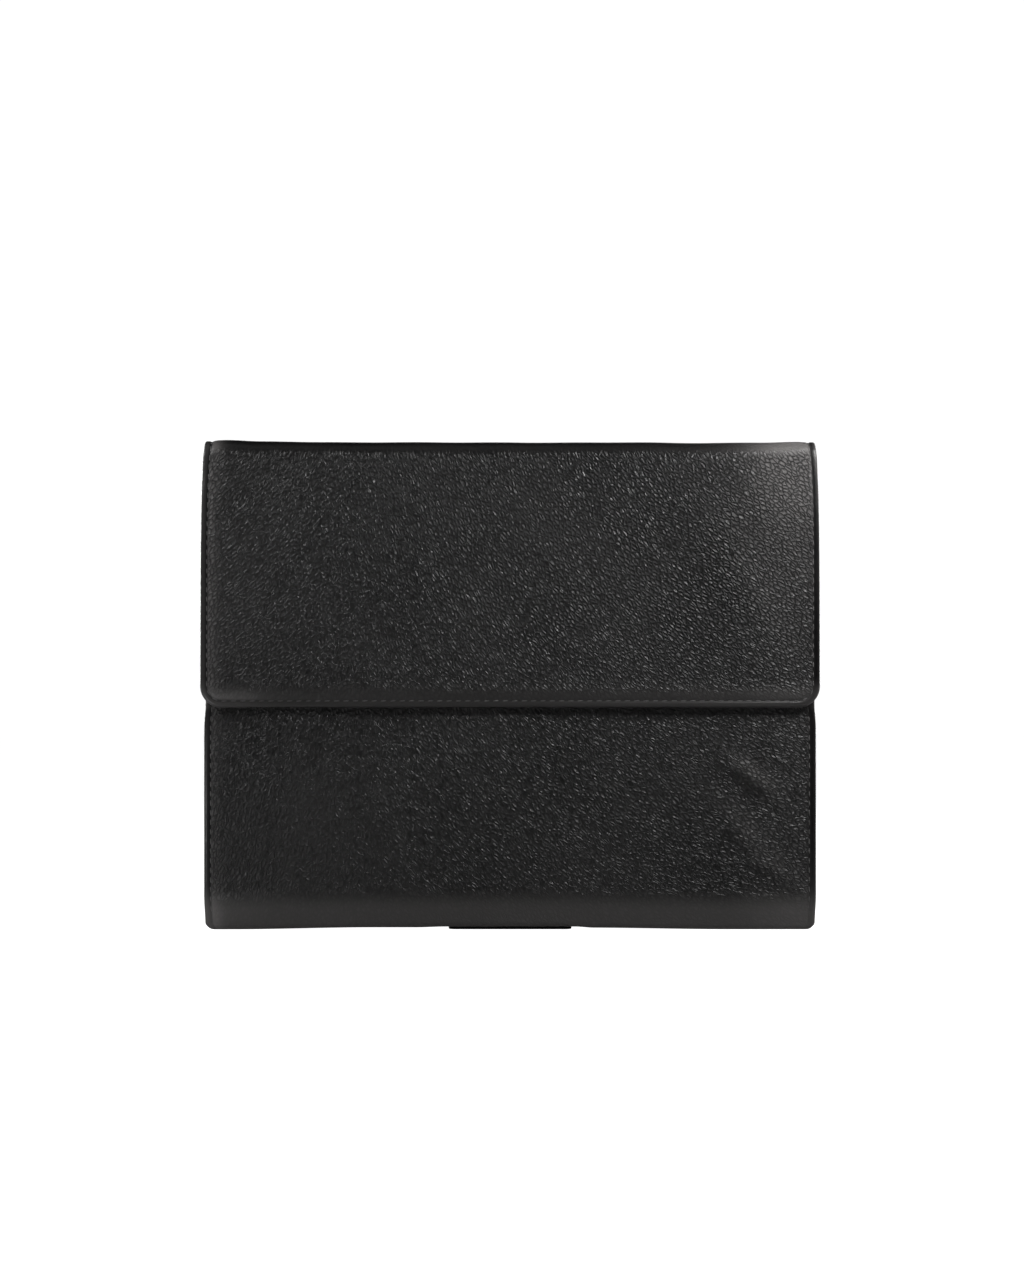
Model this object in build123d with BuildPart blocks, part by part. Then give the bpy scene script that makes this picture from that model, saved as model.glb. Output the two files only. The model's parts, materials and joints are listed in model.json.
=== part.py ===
"""Flap-over leather case for a 9.7-inch tablet that is carried sideways.

One hide runs from the flap's lower edge over the top fold, down the back, round the base and up the
front. It is split here at its creases, because each stretch of it moves on its own. Every wall is a
laminate: leather outside, then wadding, board and lining, with the leather turned over the edges.

Millimetres. X runs along the case, the front faces -Y, Z is up, and Z = 0 is the underside of the
strap's tail, which is what the case stands on.
"""

import os
from math import cos, degrees, radians

from build123d import *

# The tablet that the pocket is cut for, lying sideways.
tablet_width = 241.2
tablet_thickness = 9.4
tablet_height = 185.7

# The layers of a wall, from the outside in.
leather = 1.2
wadding = 0.6
board = 0.7
lining = 0.5
turned_edge = 1.0  # the leather is pared to this where it turns over an edge

# The body.
body_width = 262.0
body_height = 208.5
body_corner = 3.4  # seen from the front
pocket_depth = 12.0
base_roll = 3.0
mouth_drop = 24.7  # from the top of the fold down to the front wall's upper edge
crease_gap = 0.15  # bare width on each side of a crease

# The flap and its fold.
flap_width = 266.0
flap_drop = 114.3
flap_corner = 9.5
flap_flare = 28.0  # the flap widens from the fold to its full width over this height
flap_wadding = 1.0
flap_clearance = 0.6
fold_roll = 6.5
roll_margin = 4.0  # the stiff layers stop this far short of a roll

# The magnetic closure, a magnet in the flap over a steel disc in the front wall.
magnet_radius = 7.0
magnet_thickness = 1.5
keeper_thickness = 0.6
magnet_spacing = 150.0
magnet_rise = 22.0  # above the flap's lower edge
disc_clearance = 0.2

# The side gussets, each folded inwards to a V.
gusset_leather = 0.8
gusset_flange = 2.3
gusset_gap = 0.05  # between a gusset and the front wall, which moves
gusset_side_clearance = 0.7  # between the fold of the V and the tablet

# The hand strap on the back. Its tail turns under the base.
strap_width = 53.0
strap_leather = 1.2
strap_elastic = 0.8
strap_lift = 0.3  # between the strap's grip and the back
strap_top = 178.0
strap_upper_seam = 160.0
strap_lower_seam = 38.0
strap_grip_height = 26.0
strap_corner = 6.0
strap_tail = 14.5  # how far the tail reaches forwards under the base, from the back's face

# The slip pocket on the back wall's lining.
slip_width = 236.0
slip_height = 145.0
slip_sheet = 0.5
slip_air = 0.3
slip_seam = 4.0
slip_binding = 0.35
slip_binding_height = 6.0

# Seam threads, laid on the leather.
thread_width = 0.5
thread_height = 0.25
flap_seam_inset = 3.2
body_seam_inset = 3.0
strap_seam_inset = 3.0

# Places that follow from the sizes above.
wall = leather + wadding + board + lining
flap_wall = leather + flap_wadding + board + lining
inside_y = pocket_depth / 2
outside_y = inside_y + wall
base_z = strap_leather
top_z = base_z + body_height
roll_z = top_z - fold_roll
flap_back_y = outside_y + flap_clearance
flap_front_y = flap_back_y + flap_wall
back_roll_y = outside_y - fold_roll
front_roll_y = fold_roll - flap_front_y
crease_angle = degrees(crease_gap / fold_roll)
half_width = body_width / 2
half_flap = flap_width / 2
flap_low_z = top_z - flap_drop
mouth_z = top_z - mouth_drop
front_hinge_z = base_z + base_roll + 2.0
front_low_z = front_hinge_z + crease_gap
stiff_top_z = roll_z - roll_margin
floor_z = base_z + leather + board + lining
strap_middle_z = (strap_upper_seam + strap_lower_seam) / 2
pivot_offset = fold_roll * cos(radians(45))


def export(piece, name):
    """Writes one sub-part as parts/NAME.step."""
    piece.part.label = name
    export_step(piece.part, f"parts/{name}.step")


def flap_face(inset, top):
    """The flap from the front: it widens below the fold, and its lower corners are round."""
    side = half_flap - inset
    narrow = half_width - inset
    with BuildSketch(Plane.XY) as face:
        with BuildLine():
            Polyline(
                (-narrow, top),
                (-side, roll_z - flap_flare),
                (-side, flap_low_z + inset),
                (side, flap_low_z + inset),
                (side, roll_z - flap_flare),
                (narrow, top),
                close=True,
            )
        make_face()
        fillet(face.vertices().group_by(Axis.Y)[0], radius=flap_corner - inset)
    return face.sketch


def wall_face(inset, low, high):
    """A rectangular wall from the front, inset at its sides."""
    with BuildSketch(Plane.XY) as face:
        with Locations((0, (low + high) / 2)):
            Rectangle(body_width - 2 * inset, high - low)
    return face.sketch


def sheet(face, front_y, thickness):
    """A flat layer with the given face, whose front lies at front_y."""
    with BuildPart() as layer:
        with BuildSketch(Plane.XZ.offset(-(front_y + thickness))):
            add(face)
        extrude(amount=thickness)
    return layer


def sheet_with_discs(face, front_y, thickness, rise_z):
    """A flat layer with two round holes for the magnetic closure."""
    with BuildPart() as layer:
        with BuildSketch(Plane.XZ.offset(-(front_y + thickness))):
            add(face)
            with Locations((-magnet_spacing / 2, rise_z), (magnet_spacing / 2, rise_z)):
                Circle(magnet_radius + disc_clearance, mode=Mode.SUBTRACT)
        extrude(amount=thickness)
    return layer


def discs(front_y, thickness, rise_z):
    """The two discs of one side of the closure."""
    with BuildPart() as pair:
        with BuildSketch(Plane.XZ.offset(-(front_y + thickness))):
            with Locations((-magnet_spacing / 2, rise_z), (magnet_spacing / 2, rise_z)):
                Circle(magnet_radius)
        extrude(amount=thickness)
    return pair


magnet_z = flap_low_z + magnet_rise

# ---------------------------------------------------------------- back and base

# The hide from the front crease, round the base, up the back and half way round the rear roll.
with BuildPart() as back_leather:
    with BuildSketch(Plane.YZ):
        with BuildLine():
            Line((-outside_y, front_hinge_z - crease_gap), (-outside_y, base_z + base_roll))
            CenterArc((base_roll - outside_y, base_z + base_roll), base_roll, 180, 90)
            Line((base_roll - outside_y, base_z), (outside_y - base_roll, base_z))
            CenterArc((outside_y - base_roll, base_z + base_roll), base_roll, 270, 90)
            Line((outside_y, base_z + base_roll), (outside_y, roll_z))
            CenterArc((back_roll_y, roll_z), fold_roll, 0, 45 - crease_angle)
            offset(amount=leather, side=Side.LEFT)
        make_face()
    extrude(amount=half_width, both=True)
    with BuildSketch(Plane.XZ.offset(-inside_y - wall)):
        with Locations(
            (turned_edge / 2 - half_width, (floor_z + stiff_top_z) / 2),
            (half_width - turned_edge / 2, (floor_z + stiff_top_z) / 2),
        ):
            Rectangle(turned_edge, stiff_top_z - floor_z)
    extrude(amount=wall)
    with BuildSketch(Plane.XZ.offset(-outside_y)) as back_silhouette:
        with Locations((0, (base_z + top_z) / 2)):
            Rectangle(body_width, body_height)
        fillet(back_silhouette.vertices().group_by(Axis.Y)[0], radius=body_corner)
    extrude(amount=2 * outside_y, mode=Mode.INTERSECT)

# The hide's rear wall is backed by three flat layers, front face first.
back_face = wall_face(turned_edge, base_z + base_roll, stiff_top_z)
back_lining = sheet(back_face, inside_y, lining)
back_board = sheet(back_face, inside_y + lining, board)
back_wadding = sheet(back_face, inside_y + lining + board, wadding)

with BuildPart() as base_board:
    with BuildSketch(Plane.XY.offset(base_z + leather)):
        Rectangle(body_width - 3 * turned_edge, pocket_depth)
    extrude(amount=board)

with BuildPart() as base_lining:
    with BuildSketch(Plane.XY.offset(base_z + leather + board)):
        Rectangle(body_width - 3 * turned_edge, pocket_depth)
    extrude(amount=lining)

# ---------------------------------------------------------------- side gussets

gusset_fold_x = tablet_width / 2 + gusset_side_clearance
gusset_edge_x = half_width - turned_edge

with BuildPart() as right_gusset:
    with BuildSketch(Plane.XY.offset(floor_z)):
        with BuildLine():
            Polyline(
                (gusset_edge_x, gusset_gap - inside_y),
                (gusset_edge_x - gusset_flange, gusset_gap - inside_y),
                (gusset_fold_x, 0),
                (gusset_edge_x - gusset_flange, inside_y),
                (gusset_edge_x, inside_y),
            )
            offset(amount=gusset_leather, side=Side.RIGHT)
        make_face()
    extrude(amount=mouth_z - floor_z)

with BuildPart() as left_gusset:
    add(right_gusset.part)
    mirror(about=Plane.YZ, mode=Mode.REPLACE)

# ---------------------------------------------------------------- slip pocket

slip_low_z = floor_z + 2.0
slip_top_z = slip_low_z + slip_height
slip_front_y = inside_y - slip_air - slip_sheet

# A sheet that stands off the lining and is sewn to it along three sides.
with BuildPart() as slip_pocket:
    with BuildSketch(Plane.XZ.offset(-inside_y)):
        with Locations((0, (slip_low_z + slip_top_z) / 2)):
            Rectangle(slip_width, slip_height)
    extrude(amount=slip_air + slip_sheet)
    with BuildSketch(Plane.XZ.offset(-inside_y)):
        with Locations((0, (slip_low_z + slip_seam + slip_top_z) / 2)):
            Rectangle(slip_width - 2 * slip_seam, slip_height - slip_seam)
    extrude(amount=slip_air, mode=Mode.SUBTRACT)

# A folded strip over the sheet's upper edge, between the seams.
with BuildPart() as slip_pocket_binding:
    binding_low_z = slip_top_z - slip_binding_height
    with BuildSketch(Plane.YZ) as binding_profile:
        with Locations((slip_front_y - slip_binding, binding_low_z)):
            Rectangle(
                slip_sheet + slip_binding + slip_air / 2,
                slip_binding_height + slip_binding,
                align=(Align.MIN, Align.MIN),
            )
        with Locations((slip_front_y, binding_low_z)):
            Rectangle(
                slip_sheet,
                slip_binding_height,
                align=(Align.MIN, Align.MIN),
                mode=Mode.SUBTRACT,
            )
    extrude(amount=slip_width / 2 - slip_seam, both=True)

# ---------------------------------------------------------------- front wall

front_face = wall_face(turned_edge, front_low_z, mouth_z - turned_edge)

# A sheet with its sides and its upper edge turned over the layers behind it.
with BuildPart() as front_leather:
    with BuildSketch(Plane.XZ.offset(inside_y)):
        add(wall_face(0, front_low_z, mouth_z))
    extrude(amount=wall)
    with BuildSketch(Plane.XZ.offset(inside_y)):
        add(front_face)
    extrude(amount=wall - leather, mode=Mode.SUBTRACT)

front_wadding = sheet(front_face, leather - outside_y, wadding)
front_board = sheet_with_discs(front_face, leather + wadding - outside_y, board, magnet_z)
front_lining = sheet(front_face, -inside_y - lining, lining)
keeper_plates = discs(leather + wadding - outside_y, keeper_thickness, magnet_z)

# ---------------------------------------------------------------- top fold

fold_stiff_front_y = front_roll_y
fold_stiff_back_y = back_roll_y
fold_stiff_y = (fold_stiff_front_y + fold_stiff_back_y) / 2
fold_stiff_depth = fold_stiff_back_y - fold_stiff_front_y

# The hide over the top, with half of each roll.
with BuildPart() as top_fold_leather:
    with BuildSketch(Plane.YZ):
        with BuildLine():
            CenterArc((back_roll_y, roll_z), fold_roll, 45 + crease_angle, 45 - crease_angle)
            Line((back_roll_y, top_z), (front_roll_y, top_z))
            CenterArc((front_roll_y, roll_z), fold_roll, 90, 45 - crease_angle)
            offset(amount=leather, side=Side.LEFT)
        make_face()
    extrude(amount=half_width, both=True)
    with BuildSketch(Plane.XY.offset(top_z - leather - board - lining)):
        with Locations(
            (turned_edge / 2 - half_width, fold_stiff_y),
            (half_width - turned_edge / 2, fold_stiff_y),
        ):
            Rectangle(turned_edge, fold_stiff_depth)
    extrude(amount=board + lining + leather / 2)

with BuildPart() as top_fold_board:
    with BuildSketch(Plane.XY.offset(top_z - leather - board)):
        with Locations((0, fold_stiff_y)):
            Rectangle(body_width - 2 * turned_edge, fold_stiff_depth)
    extrude(amount=board)

with BuildPart() as top_fold_lining:
    with BuildSketch(Plane.XY.offset(top_z - leather - board - lining)):
        with Locations((0, fold_stiff_y)):
            Rectangle(body_width - 2 * turned_edge, fold_stiff_depth)
    extrude(amount=lining)

# ---------------------------------------------------------------- flap

# The hide's last stretch: half of the front roll, then a sheet turned over its three free edges.
with BuildPart() as flap_leather:
    with BuildSketch(Plane.XZ.offset(flap_back_y)):
        add(flap_face(0, roll_z))
    extrude(amount=flap_wall)
    with BuildSketch(Plane.XZ.offset(flap_back_y)):
        add(flap_face(turned_edge, roll_z + turned_edge))
    extrude(amount=flap_wall - leather, mode=Mode.SUBTRACT)
    with BuildSketch(Plane.YZ):
        with BuildLine():
            CenterArc((front_roll_y, roll_z), fold_roll, 135 + crease_angle, 45 - crease_angle)
            offset(amount=leather, side=Side.LEFT)
        make_face()
    extrude(amount=half_width, both=True)

flap_inner_face = flap_face(turned_edge, stiff_top_z)
flap_lining = sheet(flap_inner_face, -flap_back_y - lining, lining)
flap_board = sheet_with_discs(flap_inner_face, -flap_back_y - lining - board, board, magnet_z)
flap_wadding_sheet = sheet_with_discs(
    flap_inner_face, leather - flap_front_y, flap_wadding, magnet_z
)
flap_magnets = discs(-flap_back_y - lining - magnet_thickness, magnet_thickness, magnet_z)

# ---------------------------------------------------------------- hand strap

strap_grip_low = strap_middle_z - strap_grip_height / 2
strap_grip_top = strap_middle_z + strap_grip_height / 2
strap_grip_y = outside_y + strap_lift + strap_elastic

with BuildPart() as strap_upper_anchor:
    with BuildSketch(Plane.XZ.offset(-outside_y - strap_leather)) as anchor_face:
        with Locations((0, (strap_upper_seam + strap_top) / 2)):
            Rectangle(strap_width, strap_top - strap_upper_seam)
        fillet(anchor_face.vertices().group_by(Axis.Y)[-1], radius=strap_corner)
    extrude(amount=strap_leather)

# The lower end and the tail that turns under the base.
with BuildPart() as strap_lower_anchor:
    with BuildSketch(Plane.YZ):
        with BuildLine():
            Line((outside_y - strap_tail, base_z), (outside_y - base_roll, base_z))
            CenterArc((outside_y - base_roll, base_z + base_roll), base_roll, 270, 90)
            Line((outside_y, base_z + base_roll), (outside_y, strap_lower_seam))
            offset(amount=strap_leather, side=Side.RIGHT)
        make_face()
    extrude(amount=strap_width / 2, both=True)


def strap_span(anchor_z, grip_z):
    """One of the two stretches between a sewn end and the grip."""
    with BuildPart() as span:
        with BuildSketch(Plane.YZ):
            with BuildLine():
                Polyline(
                    (outside_y, anchor_z),
                    (outside_y + strap_leather, anchor_z),
                    (strap_grip_y + strap_leather, grip_z),
                    (strap_grip_y, grip_z),
                    close=True,
                )
            make_face()
        extrude(amount=strap_width / 2, both=True)
    return span


strap_upper_span = strap_span(strap_upper_seam, strap_grip_top + 2 * crease_gap)
strap_lower_span = strap_span(strap_lower_seam, strap_grip_low - 2 * crease_gap)

with BuildPart() as strap_grip:
    with BuildSketch(Plane.XZ.offset(-strap_grip_y - strap_leather)):
        with Locations((0, strap_middle_z)):
            Rectangle(strap_width, strap_grip_height)
    extrude(amount=strap_leather)

with BuildPart() as strap_grip_elastic:
    with BuildSketch(Plane.XZ.offset(-strap_grip_y)):
        with Locations((0, strap_middle_z)):
            Rectangle(strap_width - 2 * strap_seam_inset, strap_grip_height)
    extrude(amount=strap_elastic)

# ---------------------------------------------------------------- seam threads

# Round the flap's three free edges.
with BuildPart() as flap_thread:
    with BuildSketch(Plane.XZ.offset(flap_front_y)):
        add(flap_face(flap_seam_inset - thread_width / 2, stiff_top_z))
        add(flap_face(flap_seam_inset + thread_width / 2, stiff_top_z + 1), mode=Mode.SUBTRACT)
    extrude(amount=thread_height)

# Up the front wall's sides and along its upper edge.
with BuildPart() as front_panel_thread:
    with BuildSketch(Plane.XZ.offset(outside_y)):
        seam = body_seam_inset - thread_width / 2
        inner_seam = body_seam_inset + thread_width / 2
        add(wall_face(seam, front_low_z + 1, mouth_z - seam))
        add(wall_face(inner_seam, front_low_z, mouth_z - inner_seam), mode=Mode.SUBTRACT)
    extrude(amount=thread_height)

# Up the back wall's two sides.
with BuildPart() as back_panel_thread:
    with BuildSketch(Plane.XZ.offset(-outside_y - thread_height)):
        side_seam_x = half_width - body_seam_inset
        side_seam_low = base_z + base_roll + 2
        with Locations(
            (-side_seam_x, (side_seam_low + roll_z) / 2),
            (side_seam_x, (side_seam_low + roll_z) / 2),
        ):
            Rectangle(thread_width, roll_z - side_seam_low)
    extrude(amount=thread_height)

# A box seam at the strap's upper end, and two lines across its lower end.
with BuildPart() as strap_thread:
    with BuildSketch(Plane.XZ.offset(-outside_y - strap_leather - thread_height)):
        box_width = strap_width - 2 * strap_seam_inset
        box_height = strap_top - strap_upper_seam - 2 * strap_seam_inset
        with Locations((0, (strap_top + strap_upper_seam) / 2)):
            Rectangle(box_width, box_height)
            Rectangle(
                box_width - 2 * thread_width, box_height - 2 * thread_width, mode=Mode.SUBTRACT
            )
        with Locations(
            (0, strap_lower_seam - strap_seam_inset),
            (0, strap_lower_seam - 3 * strap_seam_inset),
        ):
            Rectangle(box_width, thread_width)
    extrude(amount=thread_height)

# Round the slip pocket's three sewn sides.
with BuildPart() as slip_pocket_thread:
    with BuildSketch(Plane.XZ.offset(-slip_front_y)):
        slip_seam_x = slip_width - slip_seam
        with Locations((0, (slip_low_z + slip_seam / 2 + slip_top_z) / 2)):
            Rectangle(slip_seam_x, slip_height - slip_seam / 2)
        with Locations((0, (slip_low_z + slip_seam / 2 + thread_width + slip_top_z) / 2)):
            Rectangle(
                slip_seam_x - 2 * thread_width,
                slip_height - slip_seam / 2 - thread_width,
                mode=Mode.SUBTRACT,
            )
    extrude(amount=thread_height)

# ---------------------------------------------------------------- export

os.makedirs("parts", exist_ok=True)
sub_parts = {
    "back_leather": back_leather,
    "back_wadding": back_wadding,
    "back_board": back_board,
    "back_lining": back_lining,
    "back_panel_thread": back_panel_thread,
    "base_board": base_board,
    "base_lining": base_lining,
    "left_gusset": left_gusset,
    "right_gusset": right_gusset,
    "slip_pocket": slip_pocket,
    "slip_pocket_binding": slip_pocket_binding,
    "slip_pocket_thread": slip_pocket_thread,
    "front_leather": front_leather,
    "front_wadding": front_wadding,
    "front_board": front_board,
    "front_lining": front_lining,
    "front_panel_thread": front_panel_thread,
    "keeper_plates": keeper_plates,
    "top_fold_leather": top_fold_leather,
    "top_fold_board": top_fold_board,
    "top_fold_lining": top_fold_lining,
    "flap_leather": flap_leather,
    "flap_wadding": flap_wadding_sheet,
    "flap_board": flap_board,
    "flap_lining": flap_lining,
    "flap_magnets": flap_magnets,
    "flap_thread": flap_thread,
    "strap_upper_anchor": strap_upper_anchor,
    "strap_upper_span": strap_upper_span,
    "strap_grip": strap_grip,
    "strap_grip_elastic": strap_grip_elastic,
    "strap_lower_span": strap_lower_span,
    "strap_lower_anchor": strap_lower_anchor,
    "strap_thread": strap_thread,
}
for node, built in sub_parts.items():
    export(built, node)

print(f"pocket {2 * gusset_fold_x:.1f} wide, {slip_front_y + inside_y:.1f} deep, for {tablet_thickness}")
print(f"back crease at y {back_roll_y + pivot_offset:.3f}, z {roll_z + pivot_offset:.3f}")
print(f"front crease at y {front_roll_y - pivot_offset:.3f}, z {roll_z + pivot_offset:.3f}")
print(f"front wall's crease at y {-outside_y:.3f}, z {front_hinge_z:.3f}")
print(f"clear height over a {tablet_height} tablet: {top_z - fold_roll - floor_z - tablet_height:.1f}")
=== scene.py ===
"""Looks of the flap-over tablet case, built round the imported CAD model.

Sizes inside this script are millimetres and are scaled to metres when a mesh is made. Every wall of the
case is a Panel: a line in the YZ plane, swept along X, with a relief that stands for its padding.
"""

import json
import math

import bpy
import numpy as np
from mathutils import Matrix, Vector


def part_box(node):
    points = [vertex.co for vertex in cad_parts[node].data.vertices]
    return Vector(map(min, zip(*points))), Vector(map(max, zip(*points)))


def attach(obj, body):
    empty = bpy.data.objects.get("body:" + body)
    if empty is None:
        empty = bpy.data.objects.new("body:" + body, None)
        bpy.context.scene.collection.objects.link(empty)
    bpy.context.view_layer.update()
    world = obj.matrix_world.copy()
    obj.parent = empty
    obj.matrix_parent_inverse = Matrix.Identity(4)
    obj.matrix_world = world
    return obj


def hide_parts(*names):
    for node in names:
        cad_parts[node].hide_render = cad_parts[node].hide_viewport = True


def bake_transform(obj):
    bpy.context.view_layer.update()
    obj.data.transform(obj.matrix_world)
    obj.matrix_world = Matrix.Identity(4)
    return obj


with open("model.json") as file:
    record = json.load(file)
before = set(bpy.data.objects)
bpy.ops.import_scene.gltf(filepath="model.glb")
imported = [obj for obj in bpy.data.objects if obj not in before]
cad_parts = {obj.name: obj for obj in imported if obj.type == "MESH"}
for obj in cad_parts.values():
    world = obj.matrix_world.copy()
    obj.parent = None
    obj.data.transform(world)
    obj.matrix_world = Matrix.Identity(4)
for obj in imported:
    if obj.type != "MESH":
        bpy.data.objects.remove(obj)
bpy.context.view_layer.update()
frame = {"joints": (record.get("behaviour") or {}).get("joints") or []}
MM = 0.001


def box_mm(node):
    """A CAD node's lowest and highest corner, in millimetres."""
    low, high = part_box(node)
    return np.array(low) / MM, np.array(high) / MM


# ---- sizes, read from the CAD

BACK_LOW, BACK_HIGH = box_mm("back_leather")
FRONT_LOW, FRONT_HIGH = box_mm("front_leather")
FLAP_LOW, FLAP_HIGH = box_mm("flap_leather")
HALF = BACK_HIGH[0]
FLAP_HALF = FLAP_HIGH[0]
BASE_Z = BACK_LOW[2]
TOP_Z = box_mm("top_fold_leather")[1][2]
MOUTH_Z = FRONT_HIGH[2]
FLAP_Z = FLAP_LOW[2]
FRONT_Y = FRONT_LOW[1]
BACK_Y = BACK_HIGH[1]
FLAP_Y = FLAP_LOW[1]
INSIDE_Y = FRONT_HIGH[1]
WALL = INSIDE_Y - FRONT_Y
FLAP_WALL = FLAP_HIGH[1] - FLAP_Y
SPINE_Y = (BACK_Y + FLAP_Y) / 2

# ---- sizes that no CAD box shows

FOLD_ROLL = 6.5  # outer radius of the bends at the top
BASE_ROLL = 3.0  # outer radius of the bends at the base
BASE_WALL = 2.4  # thickness of the walls at the base
ROLL_WALL = 1.8  # thickness of the walls over the top bends
WALL_GAP = 0.15  # the walls are this much thinner than their CAD boxes
ROLL_Z = TOP_Z - FOLD_ROLL
FLAP_CORNER = 9.5
FLAP_FLARE = 18.0
BODY_CORNER = 2.6
MOUTH_CORNER = 3.0
SEAM = 3.0  # every seam's distance from its edge
PITCH = 4.0  # from stitch to stitch
STITCH = 3.0
GROOVE = 0.38  # how deep the body's seams pull in
QUARTER = math.pi / 2
HIDE_APART = 40.0


# ---- small helpers


def smooth(t):
    """0 below 0, 1 above 1, and a soft step between."""
    t = np.clip(t, 0.0, 1.0)
    return t * t * (3 - 2 * t)


def at_least(low, share):
    """Scales a share, from 0 to 1, to between low and 1."""
    return low + (1 - low) * share


def bell(distance, width):
    return np.exp(-((distance / width) ** 2))


def rise(distance, reach):
    """0 up to the start, and then ever closer to 1."""
    return 1 - np.exp(-np.clip(distance, 0, None) / reach)


def swell(x, z, cx, cz, length, width, lean, height):
    """A soft ridge, or a hollow if height is negative. lean is the ridge's angle from upright, in degrees."""
    a = math.radians(lean)
    along = (x - cx) * math.sin(a) + (z - cz) * math.cos(a)
    across = (x - cx) * math.cos(a) - (z - cz) * math.sin(a)
    return height * np.exp(-((along / length) ** 2) - (across / width) ** 2)


def swells(x, z, table, total=0.0):
    for row in table:
        total = total + swell(x, z, *row)
    return total


def ripple(x, z, seed, height):
    """Slow, uneven waves, as leather has over padding."""
    draw = np.random.default_rng(seed)
    waves = 7
    total = 0.0
    for _ in range(waves):
        turn = draw.uniform(0, math.pi)
        wave = draw.uniform(26, 75)
        phase = draw.uniform(0, 2 * math.pi)
        total = total + np.sin((x * math.cos(turn) + z * math.sin(turn)) * 2 * math.pi / wave + phase)
    return height * total / waves


def nose(d, radius):
    """The profile of a rounded edge, 0 at the edge and 1 from radius inwards."""
    t = 1 - np.clip(d / radius, 0, 1)
    return np.sqrt(np.clip(1 - t * t, 0, 1))


def spread(low, high, step):
    """Even places from low to high, both included."""
    return np.linspace(low, high, max(2, int(round((high - low) / step)) + 1))


def stations(stops, steps, tail):
    """Even places from each stop to the next, each run with its own step, and then the tail."""
    ends = [*stops[1:], tail[0]]
    return np.concatenate([*(spread(a, b, step)[:-1] for a, b, step in zip(stops, ends, steps)), tail])


def run_along(line):
    """The distance along a line of points, from its start to each point."""
    return np.concatenate([[0], np.linalg.norm(np.diff(line, axis=0), axis=1).cumsum()])


def settle(p):
    """The case's slight sag: the top dips between its corners, and the base sinks beside the strap's tail."""
    x, z = p[..., 0], p[..., 2]
    dip = -0.45 - 0.2 * bell(x - 88, 32)
    dip = dip + 0.85 * smooth((-x - 107) / 17) + 0.45 * smooth((x - 110) / 15)
    sink = -0.85 * smooth((-x - 60) / 60) - 0.3 * smooth((-x - 28) / 12)
    sink = sink - 0.45 * smooth((x - 28) / 8) - 0.65 * smooth((x - 34) / 60)
    out = np.array(p, float)
    out[..., 2] = z + dip * smooth((z - 150) / 55) + sink * smooth((60 - z) / 55)
    return out


# ---- meshes


def make_mesh(name, points, faces, attributes):
    """A smooth-shaded mesh object from points in millimetres, with point attributes for its material."""
    mesh = bpy.data.meshes.new(name)
    mesh.from_pydata((settle(np.asarray(points, float).reshape(-1, 3)) * MM).tolist(), [], faces)
    mesh.update()
    for key, values in attributes.items():
        values = np.asarray(values, np.float32)
        kind, field = ("FLOAT_VECTOR", "vector") if values.ndim == 2 else ("FLOAT", "value")
        mesh.attributes.new(key, kind, "POINT").data.foreach_set(field, values.ravel())
    mesh.polygons.foreach_set("use_smooth", [True] * len(mesh.polygons))
    made = bpy.data.objects.new(name, mesh)
    bpy.context.scene.collection.objects.link(made)
    return made


def hide_at(across, along):
    """Coordinates for a piece's material, set apart from those of the pieces made before it."""
    across, along = np.broadcast_arrays(across, along)
    return np.stack([across, along, 0 * across + HIDE_APART * len(bpy.data.meshes)], -1)


def grid_faces(grid, flip=False):
    """The quads between the rows and columns of a grid of point numbers."""
    a, b, c, d = grid[:-1, :-1], grid[:-1, 1:], grid[1:, 1:], grid[1:, :-1]
    return np.stack([a, d, c, b] if flip else [a, b, c, d], -1).reshape(-1, 4).tolist()


def end_faces(front, back, flip=False):
    """Faces that close an open end, left out where its two sides already meet."""
    faces = []
    for j in range(len(front) - 1):
        ring = [int(v) for v in (front[j + 1], front[j], back[j], back[j + 1])]
        if flip:
            ring.reverse()
        ring = [v for k, v in enumerate(ring) if v != ring[k - 1]]
        if len(ring) > 2:
            faces.append(ring)
    return faces


def sheet_faces(rows, cols, round_start, round_end):
    """A closed two-sided sheet's faces, and which points of its far side the near side doesn't share."""
    front = np.arange(rows * cols).reshape(rows, cols)
    own = np.zeros((rows, cols), bool)
    own[int(round_start) : rows - int(round_end), 1:-1] = True
    back = front.copy()
    back[own] = rows * cols + np.arange(own.sum())
    faces = grid_faces(front) + grid_faces(back, flip=True)
    if not round_start:
        faces += end_faces(front[0], back[0])
    if not round_end:
        faces += end_faces(front[-1], back[-1], flip=True)
    return faces, own


def two_sided(near, far, own):
    """Values for a sheet's points: all of the near side's, then the far side's own."""
    return np.concatenate([near.reshape(own.size, *near.shape[2:]), far[own]])


def tube_faces(count, size, closed=False):
    """The faces that join closed rings of points, with caps unless the rings go round."""
    index = np.arange(count * size).reshape(count, size)
    grid = np.hstack([index, index[:, :1]])
    if closed:
        return grid_faces(np.vstack([grid, grid[:1]]))
    return grid_faces(grid) + [index[0][::-1].tolist(), index[-1].tolist()]


def loft(name, rings, grain, closed=False):
    """Joins closed rings of points into a skin."""
    rings = np.asarray(rings, float)
    around = np.linalg.norm(rings - np.roll(rings, 1, axis=1), axis=-1).cumsum(axis=1)
    steps = np.linalg.norm(np.diff(rings, axis=0), axis=-1).mean(axis=1)
    hide = hide_at(np.concatenate([[0], steps.cumsum()])[:, None], around).reshape(-1, 3)
    attributes = {"hide": hide, "grain": np.full(len(hide), grain)}
    return make_mesh(name, rings, tube_faces(*rings.shape[:2], closed), attributes)


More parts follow.
